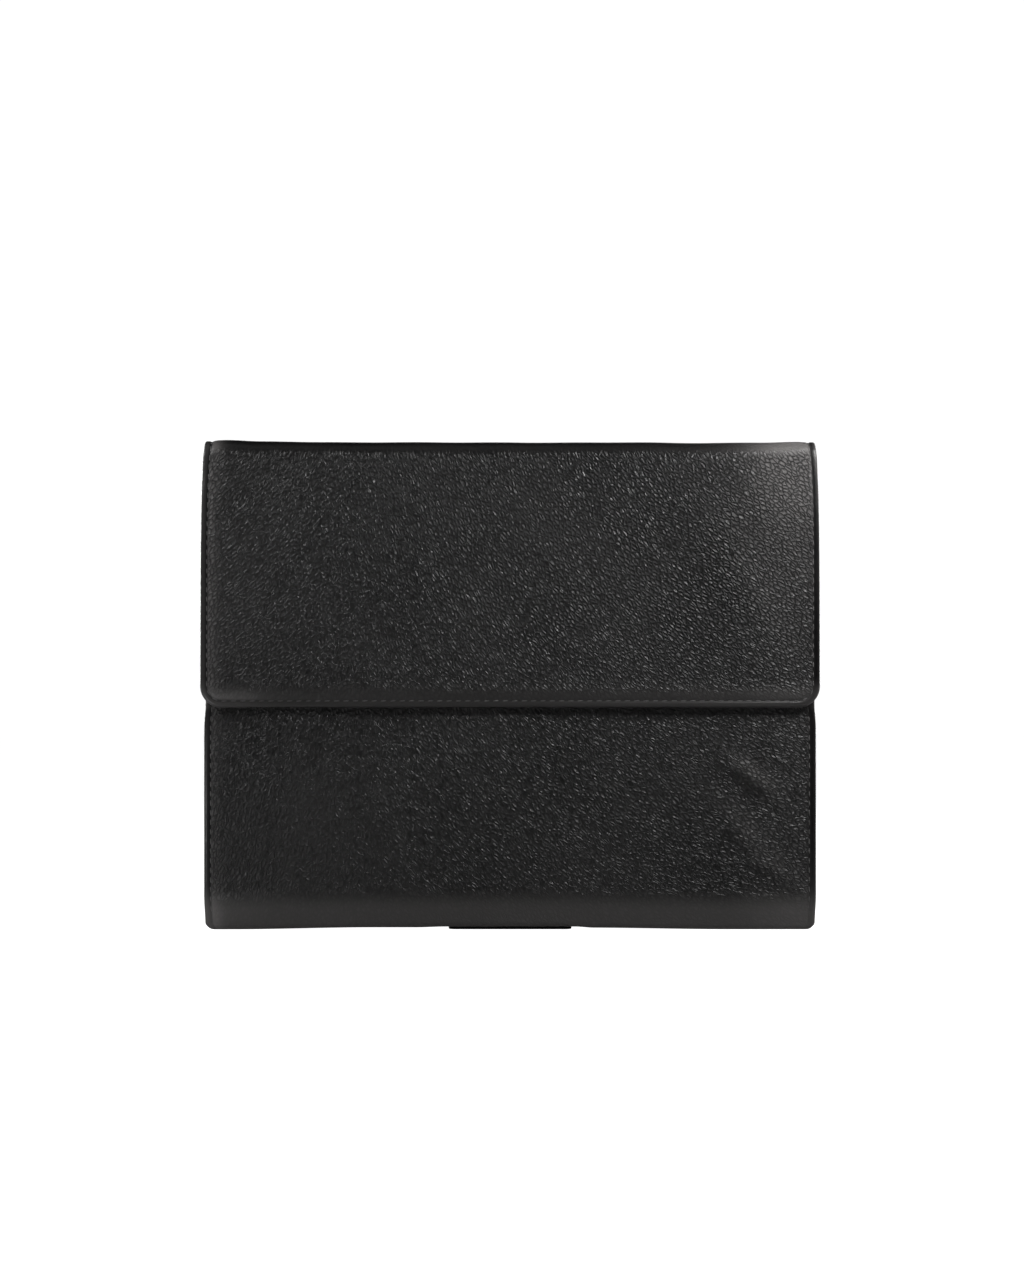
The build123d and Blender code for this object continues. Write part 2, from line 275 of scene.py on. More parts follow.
def strip(name, profile, places, thick, grain, move):
    """A thin closed sheet: a profile of (x, y) points, swept up through places, with soft edges."""
    run = run_along(profile)
    tangent = np.gradient(profile, axis=0)
    tangent /= np.linalg.norm(tangent, axis=1)[:, None]
    taper = nose(np.minimum(places[-1] - places, 9), thick / 2)
    rim = nose(np.minimum(run, run[-1] - run), thick / 2)
    half = thick / 2 * taper[:, None] * rim[None, :]
    z = places[:, None] + 0 * profile[None, :, 0]
    x, y = move(profile[None, :, 0] + 0 * z, profile[None, :, 1] + 0 * z, z, run)
    out_x, out_y = -tangent[:, 1] * half, tangent[:, 0] * half
    sides = [np.stack([x + sign * out_x, y + sign * out_y, z], -1) for sign in (1, -1)]
    faces, own = sheet_faces(*z.shape, False, True)
    hide = hide_at(run[None, :], -z)
    hide = two_sided(hide, hide, own)
    attributes = {"hide": hide, "grain": np.full(len(hide), grain)}
    return make_mesh(name, two_sided(*sides, own), faces, attributes)


def flat_sheet(name, low, high, thick_axis, step, rise_by=0.12):
    """A thin cloth sheet between two corners, with rounded rims and a slight unevenness."""
    low, high = np.array(low, float), np.array(high, float)
    u_axis, v_axis = [k for k in range(3) if k != thick_axis]
    u, v = (
        np.concatenate([a + [0, 0.1, 0.3], spread(a + 0.8, b - 0.8, step), b - [0.3, 0.1, 0]])
        for a, b in ((low[k], high[k]) for k in (u_axis, v_axis))
    )
    uu, vv = np.meshgrid(u, v)
    d = np.minimum(np.minimum(uu - u[0], u[-1] - uu), np.minimum(vv - v[0], v[-1] - vv))
    half = (high[thick_axis] - low[thick_axis]) / 2
    wave = ripple(uu, vv, len(name), rise_by) * smooth(d / 4)
    sides = []
    for sign in (-1, 1):
        p = np.zeros(uu.shape + (3,))
        p[..., u_axis], p[..., v_axis] = uu, vv
        p[..., thick_axis] = (low[thick_axis] + high[thick_axis]) / 2 + sign * half * nose(d, half) + wave
        sides.append(p)
    faces, own = sheet_faces(*uu.shape, True, True)
    hide = hide_at(uu, -vv)
    return make_mesh(name, two_sided(*sides, own), faces, {"hide": two_sided(hide, hide, own)})


# ---- panels


def trace(start, heading, runs):
    """Follows runs of (length, turn in degrees) in the YZ plane. Returns s, y, z and the heading."""
    s, y, z, a = [0.0], [start[0]], [start[1]], [math.radians(heading)]
    for length, turn in runs:
        steps = max(2, int(length / 0.1))
        bend = math.radians(turn) / steps
        for _ in range(steps):
            middle = a[-1] + bend / 2
            s.append(s[-1] + length / steps)
            y.append(y[-1] + length / steps * math.cos(middle))
            z.append(z[-1] + length / steps * math.sin(middle))
            a.append(a[-1] + bend)
    return tuple(np.array(v) for v in (s, y, z, a))


class Panel:
    """A path swept along X. side is +1 if the outside is to the path's left, and -1 to its right."""

    def __init__(self, path, side, half, relief, corner=0.0, free_end=True, free_start=False, down=-1):
        self.s, self.y, self.z, self.a = path
        self.side, self.half_of, self.relief, self.down = side, half, relief, down
        self.corner, self.free_end, self.free_start = corner, free_end, free_start
        self.length = self.s[-1]

    def height(self, s):
        return np.interp(s, self.s, self.z)

    def outward(self, s):
        """The angle in the YZ plane that the outer face looks along."""
        return np.interp(s, self.s, self.a) + self.side * math.pi / 2

    def half(self, s):
        return self.half_of(self.height(s), s)

    def margin(self, x, s):
        """The distance to the nearest free edge."""
        d = self.half(s) - np.abs(x)
        full = self.half_of(None, s) - np.abs(x)
        ends = ([self.length - s] if self.free_end else []) + ([s] if self.free_start else [])
        for end in ends:
            near = (full < self.corner) & (end < self.corner)
            round_d = self.corner - np.hypot(self.corner - full, self.corner - end)
            d = np.where(near, round_d, np.minimum(d, end))
        return d

    def point(self, x, s, depth=0.0, relief_share=1.0):
        """Where the point at x and s lies, depth millimetres behind the outer face."""
        y, z, a = np.interp(s, self.s, self.y), self.height(s), self.outward(s)
        out = self.relief(x, s, z) * relief_share - depth
        return np.stack(np.broadcast_arrays(x, y + np.cos(a) * out, z + np.sin(a) * out), -1)

    def s_at(self, z):
        """The place on the panel's last straight run that is at height z."""
        return self.length - abs(self.z[-1] - z)


# distances from a free edge: close together at the rounded rim and round the seam
EDGE = np.array(
    [0, 0.06, 0.22, 0.48, 0.82, 1.2, 1.6, 2.0, 2.35, 2.7, 3.0, 3.3, 3.7, 4.2, 4.9, 5.8, 7.0, 8.6, 10.6, 13.0]
)


def depth_at(depth, s):
    """A depth that is the same everywhere, or a function of s."""
    return depth(s) if callable(depth) else np.full_like(s, depth)


def slab(
    name, panel, s_rows, middle, far, inset=0.0, near=0.0, radius=None,
    lean=None, grain=None, painted_sheen_and_wear=None, edge=EDGE, padded=True,
):
    """A closed slab that lies from near to far behind a panel's outer face, with rounded free edges."""
    half = (panel.half(s_rows) - inset)[:, None]
    inner = np.linspace(-1, 1, middle + 2)[1:-1]
    x = np.concatenate([-(half - edge), (half - edge[-1]) * inner, half - edge[::-1]], axis=1)
    s = np.repeat(s_rows[:, None], x.shape[1], axis=1)
    d = np.clip(panel.margin(x, s) - inset, 0, None)
    depth_far, depth_near = depth_at(far, s), depth_at(near, s)
    mid, span = (depth_near + depth_far) / 2, (depth_far - depth_near) / 2
    share = nose(d, span if radius is None else np.minimum(span, radius))
    relief_end = np.maximum(depth_far, 0.5)
    sides = [
        panel.point(x, s, depth, 1 - padded * np.clip(depth / relief_end, 0, 1))
        for depth in (mid - span * share, mid + span * share)
    ]
    faces, own = sheet_faces(*x.shape, panel.free_start, panel.free_end)
    if panel.side > 0:
        faces = [f[::-1] for f in faces]
    z = panel.height(s)
    across, along = x, s * panel.down
    if lean:
        across, along = grain_map(x, along, lambda gx, gs: lean(gx, panel.height(gs * panel.down)))
    hide = hide_at(across, along)
    attributes = {"hide": two_sided(hide, hide, own)}
    if grain:
        strength, rim = grain(x, s, z, d), bell(d, 1.1)
        attributes["grain"] = two_sided(strength, strength * 0.35, own)
        attributes["edge"] = two_sided(rim, rim, own)
    # a mask that lightens the colour and raises the roughness: on the flap and the front it is painted sheen
    # and highlights
    if painted_sheen_and_wear:
        painted_sheen_and_rub = painted_sheen_and_wear(x, z, d)
        attributes["painted_sheen_and_wear"] = two_sided(painted_sheen_and_rub, painted_sheen_and_rub, own)
    return make_mesh(name, two_sided(*sides, own), faces, attributes)


GRAIN_STRETCH = 1.9
GRAIN_STEP = 13.0
GRAIN_ROUNDS = 25


def grain_map(x, s, lean):
    """Coordinates that run slower along the grain than across it, whichever way the grain leans.

    They are the least-squares fit, on a coarse grid, to the stretch wanted in each cell. Each round turns
    every cell's target as far as the last fit turned it, so that only the stretch is asked for.
    """
    step = GRAIN_STEP
    gx = np.arange(x.min() - step, x.max() + 2 * step, step)
    gs = np.arange(s.min() - step, s.max() + 2 * step, step)
    nx, ns = len(gx), len(gs)

    def between(n):
        """What takes the mean, and what takes the slope, between each node of a row and the next."""
        here, after = np.eye(n - 1, n), np.eye(n - 1, n, 1)
        return (here + after) / 2, (after - here) / step

    (mean_x, slope_x), (mean_s, slope_s) = between(nx), between(ns)
    slopes = np.vstack([np.kron(mean_s, slope_x), np.kron(slope_s, mean_x)])
    cells = (nx - 1) * (ns - 1)
    centre_x, centre_s = np.meshgrid((gx[:-1] + gx[1:]) / 2, (gs[:-1] + gs[1:]) / 2)
    angle = lean(centre_x.ravel(), centre_s.ravel())
    along_x, along_s = np.sin(angle), -np.cos(angle)
    shrink = 1 - 1 / GRAIN_STRETCH
    xx, xs, ss = 1 - shrink * along_x * along_x, -shrink * along_x * along_s, 1 - shrink * along_s * along_s
    solve = np.linalg.inv(slopes.T @ slopes + 1e-7 * np.eye(nx * ns)) @ slopes.T
    turn = np.zeros(cells)
    for _ in range(GRAIN_ROUNDS):
        c, q = np.cos(turn), np.sin(turn)
        u = solve @ np.concatenate([c * xx - q * xs, c * xs - q * ss])
        v = solve @ np.concatenate([q * xx + c * xs, q * xs + c * ss])
        (u_x, u_s), (v_x, v_s) = (slopes @ u).reshape(2, cells), (slopes @ v).reshape(2, cells)
        same = u_x * xx + u_s * xs + v_x * xs + v_s * ss
        cross = v_x * xx + v_s * xs - u_x * xs - u_s * ss
        turn = np.arctan2(cross, same)
    fx, fs = (x - gx[0]) / step, (s - gs[0]) / step
    ix, js = fx.astype(int), fs.astype(int)
    fx, fs = fx - ix, fs - js

    def sample(values):
        values = values.reshape(ns, nx)
        low = values[js, ix] * (1 - fx) + values[js, ix + 1] * fx
        high = values[js + 1, ix] * (1 - fx) + values[js + 1, ix + 1] * fx
        return low * (1 - fs) + high * fs

    return sample(u), sample(v)


# ---- the shapes of the padding

# ridges and hollows: x, z, length, width, lean in degrees, height
FLAP_SWELLS = (
    (106, 152, 30, 8, -26, 1.0),
    (90, 150, 32, 9, -24, -0.85),
    (62, 187, 12, 5, -30, 0.4),
    (50, 184, 12, 6, -30, -0.3),
    (-19, 172, 14, 6, -20, 0.35),
    (-32, 168, 16, 8, -20, -0.25),
    (112, 194, 16, 9, -60, 0.5),
    (-112, 190, 12, 10, 30, 0.3),
    (-70, 140, 26, 12, 30, 0.3),
    (20, 128, 30, 13, -50, -0.25),
)
FRONT_SWELLS = (
    (104, 66, 15, 4.5, -51, 2.0),
    (96, 59, 15, 5.5, -50, -1.1),
    (113, 74, 12, 5, -50, -0.8),
    (101, 42, 15, 5, -42, 1.3),
    (93, 36, 14, 6, -42, -0.8),
    (82, 38, 11, 5, -40, 0.6),
    (115, 26, 12, 4.5, -62, 0.8),
    (108, 19, 12, 5, -62, -0.6),
    (-112, 66, 24, 8, 12, 0.3),
    (-40, 50, 30, 16, 30, 0.2),
)
# painted highlights on those folds, in the same columns, with the highlight's strength in place of the height
PAINTED_FOLD_HIGHLIGHTS = (
    (105, 67, 13, 3.5, -51, 0.8),
    (102, 43, 14, 4.5, -42, 0.45),
    (116, 27, 12, 4, -62, 0.35),
    (104, 152, 30, 7, -25, 0.3),
)


def crown(d, height, reach, groove=GROOVE):
    """Padding that swells inside the seam, a pulled-in line at the seam, and a bead outside it."""
    return height * rise(d - SEAM, reach) - groove * bell(d - SEAM, 0.55)


def body_groove(z):
    return GROOVE * smooth((z - BASE_Z) / 6)


def off_base(z):
    return smooth((z - BASE_Z - 1) / 16)


def under_strap(z):
    """1 where the strap lies on the back, away from its two ends."""
    return smooth((z - 30) / 10) * smooth((180 - z) / 6)


def tuck(s, z, depth, reach):
    """The wall draws in towards a soft bottom corner, and the base is flat again in its middle."""
    return -depth * (1 - np.clip((z - BASE_Z) / reach, 0, 1)) ** 2 * smooth((s - 7) / 4)


def left_roll(x, d):
    """The left side is rolled over more tightly, just inside its seam."""
    return 1.1 * smooth((-x - 60) / 40) * rise(d - SEAM, 3.0)


def flap_relief(x, s, z):
    d = flap.margin(x, s)
    low = smooth((ROLL_Z + 4 - z) / 30)
    shoulder = smooth((x - 30) / 60) * smooth((z - 120) / 55) * smooth((TOP_Z - z) / 8)
    out = crown(d, 0.35 + 0.75 * low + 1.7 * shoulder, 8.0 + 7.0 * shoulder)
    out = out + 1.5 * shoulder * rise(ROLL_Z + 1 - z, 12)
    out = out + left_roll(x, d) * at_least(0.4, low)
    # the small gathers that the stitches pull in beside the seam
    out = out + 0.05 * np.cos((x + s) * math.pi / PITCH) * bell(d - SEAM - 2.2, 2.4)
    soft = swells(x, z, FLAP_SWELLS, ripple(x, z, 11, 0.5))
    return out + soft * smooth((d - 4) / 12) * at_least(0.45, low)


def front_relief(x, s, z):
    d = front.margin(x, s)
    wrap = off_base(z)
    out = crown(d, 0.8 * wrap, 8.0, body_groove(z)) + 0.7 * left_roll(x, d) * wrap
    soft = swells(x, z, FRONT_SWELLS, ripple(x, z, 23, 0.45)) * smooth((d - 3.5) / 12) * wrap
    pressed = smooth((z - (FLAP_Z - 8)) / 26)
    return out * (1 - 0.45 * pressed) + tuck(s, z, 1.1, 15) + soft * (1 - 0.6 * pressed)


def back_swell(z):
    """How far the back's padding stands out, away from its side edges."""
    return 0.7 * off_base(z) * smooth((ROLL_Z + 4 - z) / 20)


def back_relief(x, s, z):
    d = back.margin(x, s)
    out = crown(d, back_swell(z), 9.0, body_groove(z))
    soft = ripple(x, z, 37, 0.45) * smooth((d - 3.5) / 12) * smooth((z - 6) / 16) * smooth((ROLL_Z - z) / 20)
    beside_strap = smooth((np.abs(x) - 28) / 12)
    pressed = -0.12 * smooth((31 - np.abs(x)) / 6) * under_strap(z)
    return out + (tuck(s, z, 0.9, 12) + soft) * beside_strap + pressed


# Half widths, as functions of height and s. A height of None asks for the width without its corners.


def rounded_half(z, s, full, *corners):
    """A half width with corners of (height, direction, radius)."""
    out = full + np.zeros_like(np.asarray(s, float))
    for at, up, radius in corners if z is not None else ():
        drop = np.clip(up * (at + up * radius - z), 0, radius)
        out = out - radius + np.sqrt(np.clip(radius**2 - drop**2, 0, None))
    return out


def flap_half(z, s):
    flare = 1.0 if z is None else rise(TOP_Z - z, FLAP_FLARE)
    return rounded_half(z, s, HALF + (FLAP_HALF - HALF) * flare, (FLAP_Z, 1, FLAP_CORNER))


def front_half(z, s):
    wide = 0.6 * smooth((FLAP_Z + 2 - z) / 10) * smooth((z - 2) / 14) if z is not None else 0.0
    return wide + rounded_half(z, s, HALF, (BASE_Z, 1, BODY_CORNER), (MOUTH_Z, -1, MOUTH_CORNER))


def back_half(z, s):
    return rounded_half(z, s, HALF, (BASE_Z, 1, BODY_CORNER))


base_bend, fold_bend = BASE_ROLL * QUARTER, FOLD_ROLL * QUARTER
flap_path = [(SPINE_Y - FLAP_Y - FOLD_ROLL, 0), (fold_bend, 90), (ROLL_Z - FLAP_Z, 0)]
front_path = [(-FRONT_Y - BASE_ROLL, 0), (base_bend, -90), (MOUTH_Z - BASE_Z - BASE_ROLL, 0)]
back_path = [(BACK_Y - BASE_ROLL, 0), (base_bend, 90), (ROLL_Z - BASE_Z - BASE_ROLL, 0)]
back_path += [(fold_bend, 90), (BACK_Y - FOLD_ROLL - SPINE_Y, 0)]
flap = Panel(trace((SPINE_Y, TOP_Z), 180, flap_path), -1, flap_half, flap_relief, corner=FLAP_CORNER, down=1)
front = Panel(trace((0, BASE_Z), 180, front_path), 1, front_half, front_relief, corner=MOUTH_CORNER)
back = Panel(trace((0, BASE_Z), 0, back_path), -1, back_half, back_relief, free_end=False)


def flap_thick(s):
    """The flap is thin over the roll and full below it."""
    return ROLL_WALL + (FLAP_WALL - WALL_GAP - ROLL_WALL) * smooth((ROLL_Z - flap.height(s)) / 9)


def off_base_bend(z):
    return smooth((z - BASE_Z - BASE_ROLL) / 8)


def front_thick(s):
    return BASE_WALL + (WALL - WALL_GAP - BASE_WALL) * off_base_bend(front.height(s))


def back_thick(s):
    z = back.height(s)
    full = WALL - WALL_GAP
    at_fold = 1 - smooth((ROLL_Z - z) / 9)
    return full - (full - BASE_WALL) * (1 - off_base_bend(z)) - (full - ROLL_WALL) * at_fold


# ---- the grain's direction and strength


def fan(x, z):
    """The lean of the pebbles from upright, in radians: one way at the left and the other at the right."""
    degrees = 32 - 64 * smooth((x + 116) / 100) - 18 * smooth(x / 115)
    return np.radians(degrees - 6 * smooth((FLAP_Z - z) / 10))


def back_fan(x, z):
    return -fan(x, z)


def wall_grain(d, share):
    """Almost none on the bead outside the seam, and a share of the full grain inside it."""
    return 0.06 + 0.94 * smooth((d - 2.6) / 1.6) * share


def flap_grain(x, s, z, d):
    over_fold = 1 - 0.85 * smooth((z - (ROLL_Z - 0.5)) / 4)
    above_seam = 1 - 0.7 * (1 - smooth((z - FLAP_Z - 5) / 7))
    return wall_grain(d, over_fold) * above_seam


def front_grain(x, s, z, d):
    return wall_grain(d, at_least(0.12, smooth((z - BASE_Z - 9) / 12)))


def back_grain(x, s, z, d):
    over_fold = 1 - 0.85 * smooth((z - (ROLL_Z - 3)) / 6)
    return wall_grain(d, at_least(0.12, smooth((z - BASE_Z - 7) / 12)) * over_fold)


def front_painted_sheen_and_wear(x, z, d):
    """Painted sheen and highlights, with some real rubbing. The mask lightens the colour as painted
    highlights at the top right corner, beside the left seam, down the right side and along the folds. It
    lightens it as painted sheen above the flap's seam and over the top fold, and as painted light from the
    floor along the base. It also makes these places a little rougher, as rubbed leather is.
    """
    corner = 0.9 * bell(x - 126, 24) * bell(z - 197, 18)
    right = 0.45 * smooth((x - 92) / 30) * at_least(0.5, smooth((z - 90) / 110))
    beside_seam = smooth((d - 3.1) / 0.8) * bell(np.clip(d - 3.2, 0, None), 4.0)
    bead = 1 - smooth((d - 1.9) / 0.8)
    left = smooth((-x - 100) / 20) * (0.2 * bead + beside_seam) * at_least(0.45, smooth((z - 96) / 20))
    base = 0.55 * (1 - smooth((z - 8) / 13))
    above_seam = 0.25 * smooth((z - FLAP_Z + 1) / 2) * smooth((FLAP_Z + 13 - z) / 7)
    top_fold = 0.05 * smooth((z - 198) / 6)
    # the bead at the right edge is kept out of the painted sheen
    kept_dark = 1 - smooth(x / 40) * bell(d - 1.8, 1.7)
    folds = swells(x, z, PAINTED_FOLD_HIGHLIGHTS)
    return np.clip((corner + right) * kept_dark + left + base + above_seam + top_fold + folds, 0, 1)


def back_pale_rims(x, z, d):
    """Lighter in colour and a little rougher along the sides and the base."""
    return 0.5 * bell(d, 3) + 0.35 * (1 - smooth((z - 6) / 9))

# ---- the hide

STEP = 1.8
flap_rows = stations([0, flap.s_at(ROLL_Z) + 4], [0.7, STEP], flap.length - EDGE[::-1])
flap_hide = slab("flap_hide", flap, flap_rows, 132, flap_thick, lean=fan, grain=flap_grain, painted_sheen_and_wear=front_painted_sheen_and_wear)
front_rows = stations([0, front.s_at(BASE_Z + 8)], [0.8, STEP], front.length - EDGE[::-1])
front_hide = slab(
    "front_hide", front, front_rows, 130, front_thick, lean=fan, grain=front_grain, painted_sheen_and_wear=front_painted_sheen_and_wear
)
back_wall_top = back.length - (FOLD_ROLL * QUARTER + BACK_Y - FOLD_ROLL - SPINE_Y)
BACK_BASE_S = 16  # where the back wall stands clear of its bottom bend
back_rows = stations([0, BACK_BASE_S, back_wall_top - 4], [0.8, STEP, 0.7], [back.length])
back_hide = slab(
    "back_hide", back, back_rows, 130, back_thick, lean=back_fan, grain=back_grain, painted_sheen_and_wear=back_pale_rims
)

# ---- linings

LINING_EDGE = np.array([0, 0.08, 0.25, 0.6, 1.2, 2.2, 4.0, 7.0])
LINING_INSET = 1.9
LINING_STEP = 4.0
LINING_BEND_STEP = 0.9
FRONT_LINING_S = front.s_at(BASE_Z + 7)


def lining(name, panel, stops, steps, tail, thick):
    """A thin sheet on the inner face, whose margin is caught in the seam."""
    return slab(
        name, panel, stations(stops, steps, tail), 44, lambda s: thick(s) + 0.15,
        inset=LINING_INSET, near=lambda s: thick(s) - 0.3, radius=0.25, edge=LINING_EDGE,
    )


def lining_tail(panel):
    return panel.length - LINING_INSET - LINING_EDGE[::-1]


flap_lining = lining(
    "flap_lining_sheet", flap, [0, flap.s_at(ROLL_Z) + 6], [LINING_BEND_STEP, LINING_STEP],
    lining_tail(flap), flap_thick,
)
front_lining = lining(
    "front_lining_sheet", front, [FRONT_LINING_S], [LINING_STEP], lining_tail(front), front_thick
)
back_lining = lining(
    "back_lining_sheet", back, [BACK_BASE_S, back_wall_top - 6], [LINING_STEP, LINING_BEND_STEP],
    [back.length], back_thick,
)

# ---- the pocket's floor and gussets


def soften(corners, radius, step):
    """A polyline through the corners, with each bend rounded."""
    corners = np.asarray(corners, float)
    out = [corners[0]]
    for before, at, after in zip(corners, corners[1:], corners[2:]):
        a = at + (before - at) / np.linalg.norm(before - at) * radius
        b = at + (after - at) / np.linalg.norm(after - at) * radius
        for t in np.linspace(0, 1, 7):
            out.append((1 - t) ** 2 * a + 2 * t * (1 - t) * at + t**2 * b)
    out = np.array([*out, corners[-1]])
    run = run_along(out)
    places = spread(0, run[-1], step)
    return np.stack([np.interp(places, run, out[:, k]) for k in (0, 1)], -1)


GUSSET_LOW, GUSSET_HIGH = box_mm("right_gusset")
GUSSET_THICK = 0.9


def buckle(x, y, z, run):
    """A gusset's fold wanders a little, and its walls bow outwards."""
    middle = np.sin(np.pi * run / run[-1])[None, :]
    wander = 0.5 * np.sin(z / 23.0 + 0.8) + 0.35 * np.sin(z / 9.5 + 2.0)
    x = x + np.sign(x) * wander * middle * smooth((GUSSET_HIGH[2] - z) / 18)
    return x, y + 0.25 * middle * np.sin(z / 15)


def gusset(side, name):
    """A side wall folded inwards in a V. side is +1 at the right and -1 at the left."""
    edge_x, fold_x = GUSSET_HIGH[0] - 0.3, GUSSET_LOW[0] + GUSSET_THICK / 2 + 0.1
    turn_x, edge_y, turn_y = edge_x - 2.4, -INSIDE_Y - 0.25, -INSIDE_Y - 0.25 - 0.2
    corners = [(edge_x, -edge_y), (turn_x, -turn_y), (fold_x, 0), (turn_x, turn_y), (edge_x, edge_y)]
    line = soften(corners, 1.1, 0.45)
    line[:, 0] *= side
    places = spread(GUSSET_LOW[2] - 0.2, GUSSET_HIGH[2], 2.2)
    return strip(name, line if side > 0 else line[::-1], places, GUSSET_THICK, 0.5, buckle)


right_gusset = gusset(1, "right_gusset_fold")
left_gusset = gusset(-1, "left_gusset_fold")

FLOOR_LOW, FLOOR_HIGH = box_mm("base_lining")
FLOOR_GAP = 0.15  # between the floor lining and the front and back walls
floor_lining = flat_sheet(
    "floor_lining",
    (FLOOR_LOW[0], INSIDE_Y + FLOOR_GAP, FLOOR_LOW[2] - 0.4),
    (FLOOR_HIGH[0], -INSIDE_Y - FLOOR_GAP, FLOOR_HIGH[2]),
    2,
    5.0,
)

# ---- slip pocket

SLIP_LOW, SLIP_HIGH = box_mm("slip_pocket")
BIND_LOW, BIND_HIGH = box_mm("slip_pocket_binding")
slip_sheet = flat_sheet(
    "slip_pocket_sheet", SLIP_LOW, (SLIP_HIGH[0], SLIP_LOW[1] + 0.5, SLIP_HIGH[2] - 1), 1, 4.0, 0.1
)


def binding_sag(x):
    return -0.5 * (1 - (x / SLIP_HIGH[0]) ** 2) + 0.25 * np.sin(x / 17)


def binding_ring(x):
    """The folded strip over the slip pocket's edge, in the YZ plane at x."""
    y0, y1 = BIND_LOW[1], SLIP_LOW[1] + 0.62
    low, high = BIND_LOW[2], BIND_HIGH[2]
    outline = [(y1, low), (y1, high - 0.5), (y1 - 0.14, high - 0.12), ((y0 + y1) / 2, high)]
    outline += [(y0 + 0.14, high - 0.12), (y0, high - 0.5), (y0, high - 2.5), (y0, low + 0.3)]
    outline += [(y0 + 0.08, low + 0.05), (y0 + 0.2, low), (y0 + 0.35, low), (y0 + 0.35, high - 0.45)]
    outline += [(y1 - 0.12, high - 0.45), (y1 - 0.12, low)]
    return [(x, y, z + binding_sag(x)) for y, z in outline]


binding_places = spread(BIND_LOW[0] + 0.3, BIND_HIGH[0] - 0.3, 4.0)
slip_binding = loft("slip_pocket_edge", [binding_ring(x) for x in binding_places][::-1], 0.15)

# ---- hand strap

ANCHOR_LOW, ANCHOR_HIGH = box_mm("strap_upper_anchor")
TAIL_LOW, TAIL_HIGH = box_mm("strap_lower_anchor")
GRIP_LOW, GRIP_HIGH = box_mm("strap_grip")
STRAP_HALF = TAIL_HIGH[0]
STRAP_THICK = ANCHOR_HIGH[1] - ANCHOR_LOW[1]
STRAP_Y = ANCHOR_HIGH[1]
STRAP_ROLL = BASE_ROLL + STRAP_THICK
GRIP_Z = (GRIP_LOW[2] + GRIP_HIGH[2]) / 2
GRIP_RISE = 0.9  # how far the strap stands off the back at its sleeve
UPPER_SEAM_Z = ANCHOR_LOW[2]
LOWER_SEAM_Z = TAIL_HIGH[2]


def strap_relief(x, s, z):
    across = STRAP_HALF - np.abs(x)
    dome = 0.22 * rise(across - 1, 6) - 0.16 * bell(across - SEAM, 0.7)
    rest = back_swell(z) - 0.1 * under_strap(z)
    lifted = GRIP_RISE * smooth((z - LOWER_SEAM_Z) / 46) * smooth((UPPER_SEAM_Z - z) / 46)
    return rest + lifted + (dome + 0.05 * np.sin(z / 5.3 + x / 31)) * smooth((z - 3) / 8)


def strap_half(z, s):
    return np.full_like(np.asarray(s, float), STRAP_HALF)


tail_path = [(STRAP_Y - STRAP_ROLL - TAIL_LOW[1], 0), (STRAP_ROLL * QUARTER, 90), (GRIP_Z - STRAP_ROLL, 0)]
lower_strap = Panel(
    trace((TAIL_LOW[1], 0), 0, tail_path), -1, strap_half, strap_relief,
    corner=3.0, free_end=False, free_start=True,
)
upper_strap = Panel(
    trace((STRAP_Y, GRIP_Z), 90, [(ANCHOR_HIGH[2] - GRIP_Z, 0)]), -1, strap_half, strap_relief, corner=6.0
)
STRAP_EDGE = np.array([0, 0.05, 0.16, 0.34, 0.6, 1.0, 1.6, 2.2, 2.7, 3.0, 3.3, 3.9, 5.0, 6.5])
STRAP_STEP = 1.6


def strap_grain(x, s, z, d):
    return 0.08 + 0.92 * smooth((d - 2.5) / 1.2) * at_least(0.3, smooth((z - 6) / 8))


def straight(x, z):
    """The strap's pebbles run nearly straight up it."""
    return 0.12 * np.sin(z / 19.0) + 0 * x


def strap(name, panel, rows):
    return slab(
        name, panel, rows, 24, STRAP_THICK - 0.05,
        lean=straight, grain=strap_grain, edge=STRAP_EDGE, padded=False,
    )


lower_stops = [STRAP_EDGE[-1], lower_strap.s_at(STRAP_ROLL + 4)]
lower_rows = stations(lower_stops, [0.9, STRAP_STEP], [lower_strap.length])
strap_lower = strap("strap_lower_half", lower_strap, np.concatenate([STRAP_EDGE[:-1], lower_rows]))
upper_rows = stations([0], [STRAP_STEP], upper_strap.length - STRAP_EDGE[::-1])
strap_upper = strap("strap_upper_half", upper_strap, upper_rows)

SLEEVE_THICK = 0.75
SLEEVE_SEAM = 2.6
sleeve_back = BACK_Y + back_swell(GRIP_Z) + 0.1
sleeve_front = STRAP_Y + back_swell(GRIP_Z) + GRIP_RISE + 0.3 + SLEEVE_THICK
sleeve_half = STRAP_HALF + SLEEVE_THICK + 0.25


def rounded_loop(half_x, low_y, high_y, radius, count):
    """Points round a rounded rectangle in the XY plane, with their outward directions."""
    radius = min(radius, (high_y - low_y) / 2)
    x, low, high = half_x - radius, low_y + radius, high_y - radius
    arcs = []
    for centre, start in (((x, high), 0), ((-x, high), 90), ((-x, low), 180), ((x, low), 270)):
        a = np.radians(start + np.linspace(0, 90, 7))
        way = np.stack([np.cos(a), np.sin(a)], -1)
        arcs.append((np.array(centre) + radius * way, way))
    places, out = [], []
    for k, (arc, way) in enumerate(arcs):
        places.append(arc)
        out.append(way)
        side = arcs[(k + 1) % 4][0][0] - arc[-1]
        if np.linalg.norm(side) > 2:
            share = np.linspace(0, 1, count)[1:-1, None]
            places.append(arc[-1] + side * share)
            out.append(way[-1] + 0 * share)
    return np.concatenate(places), np.concatenate(out)


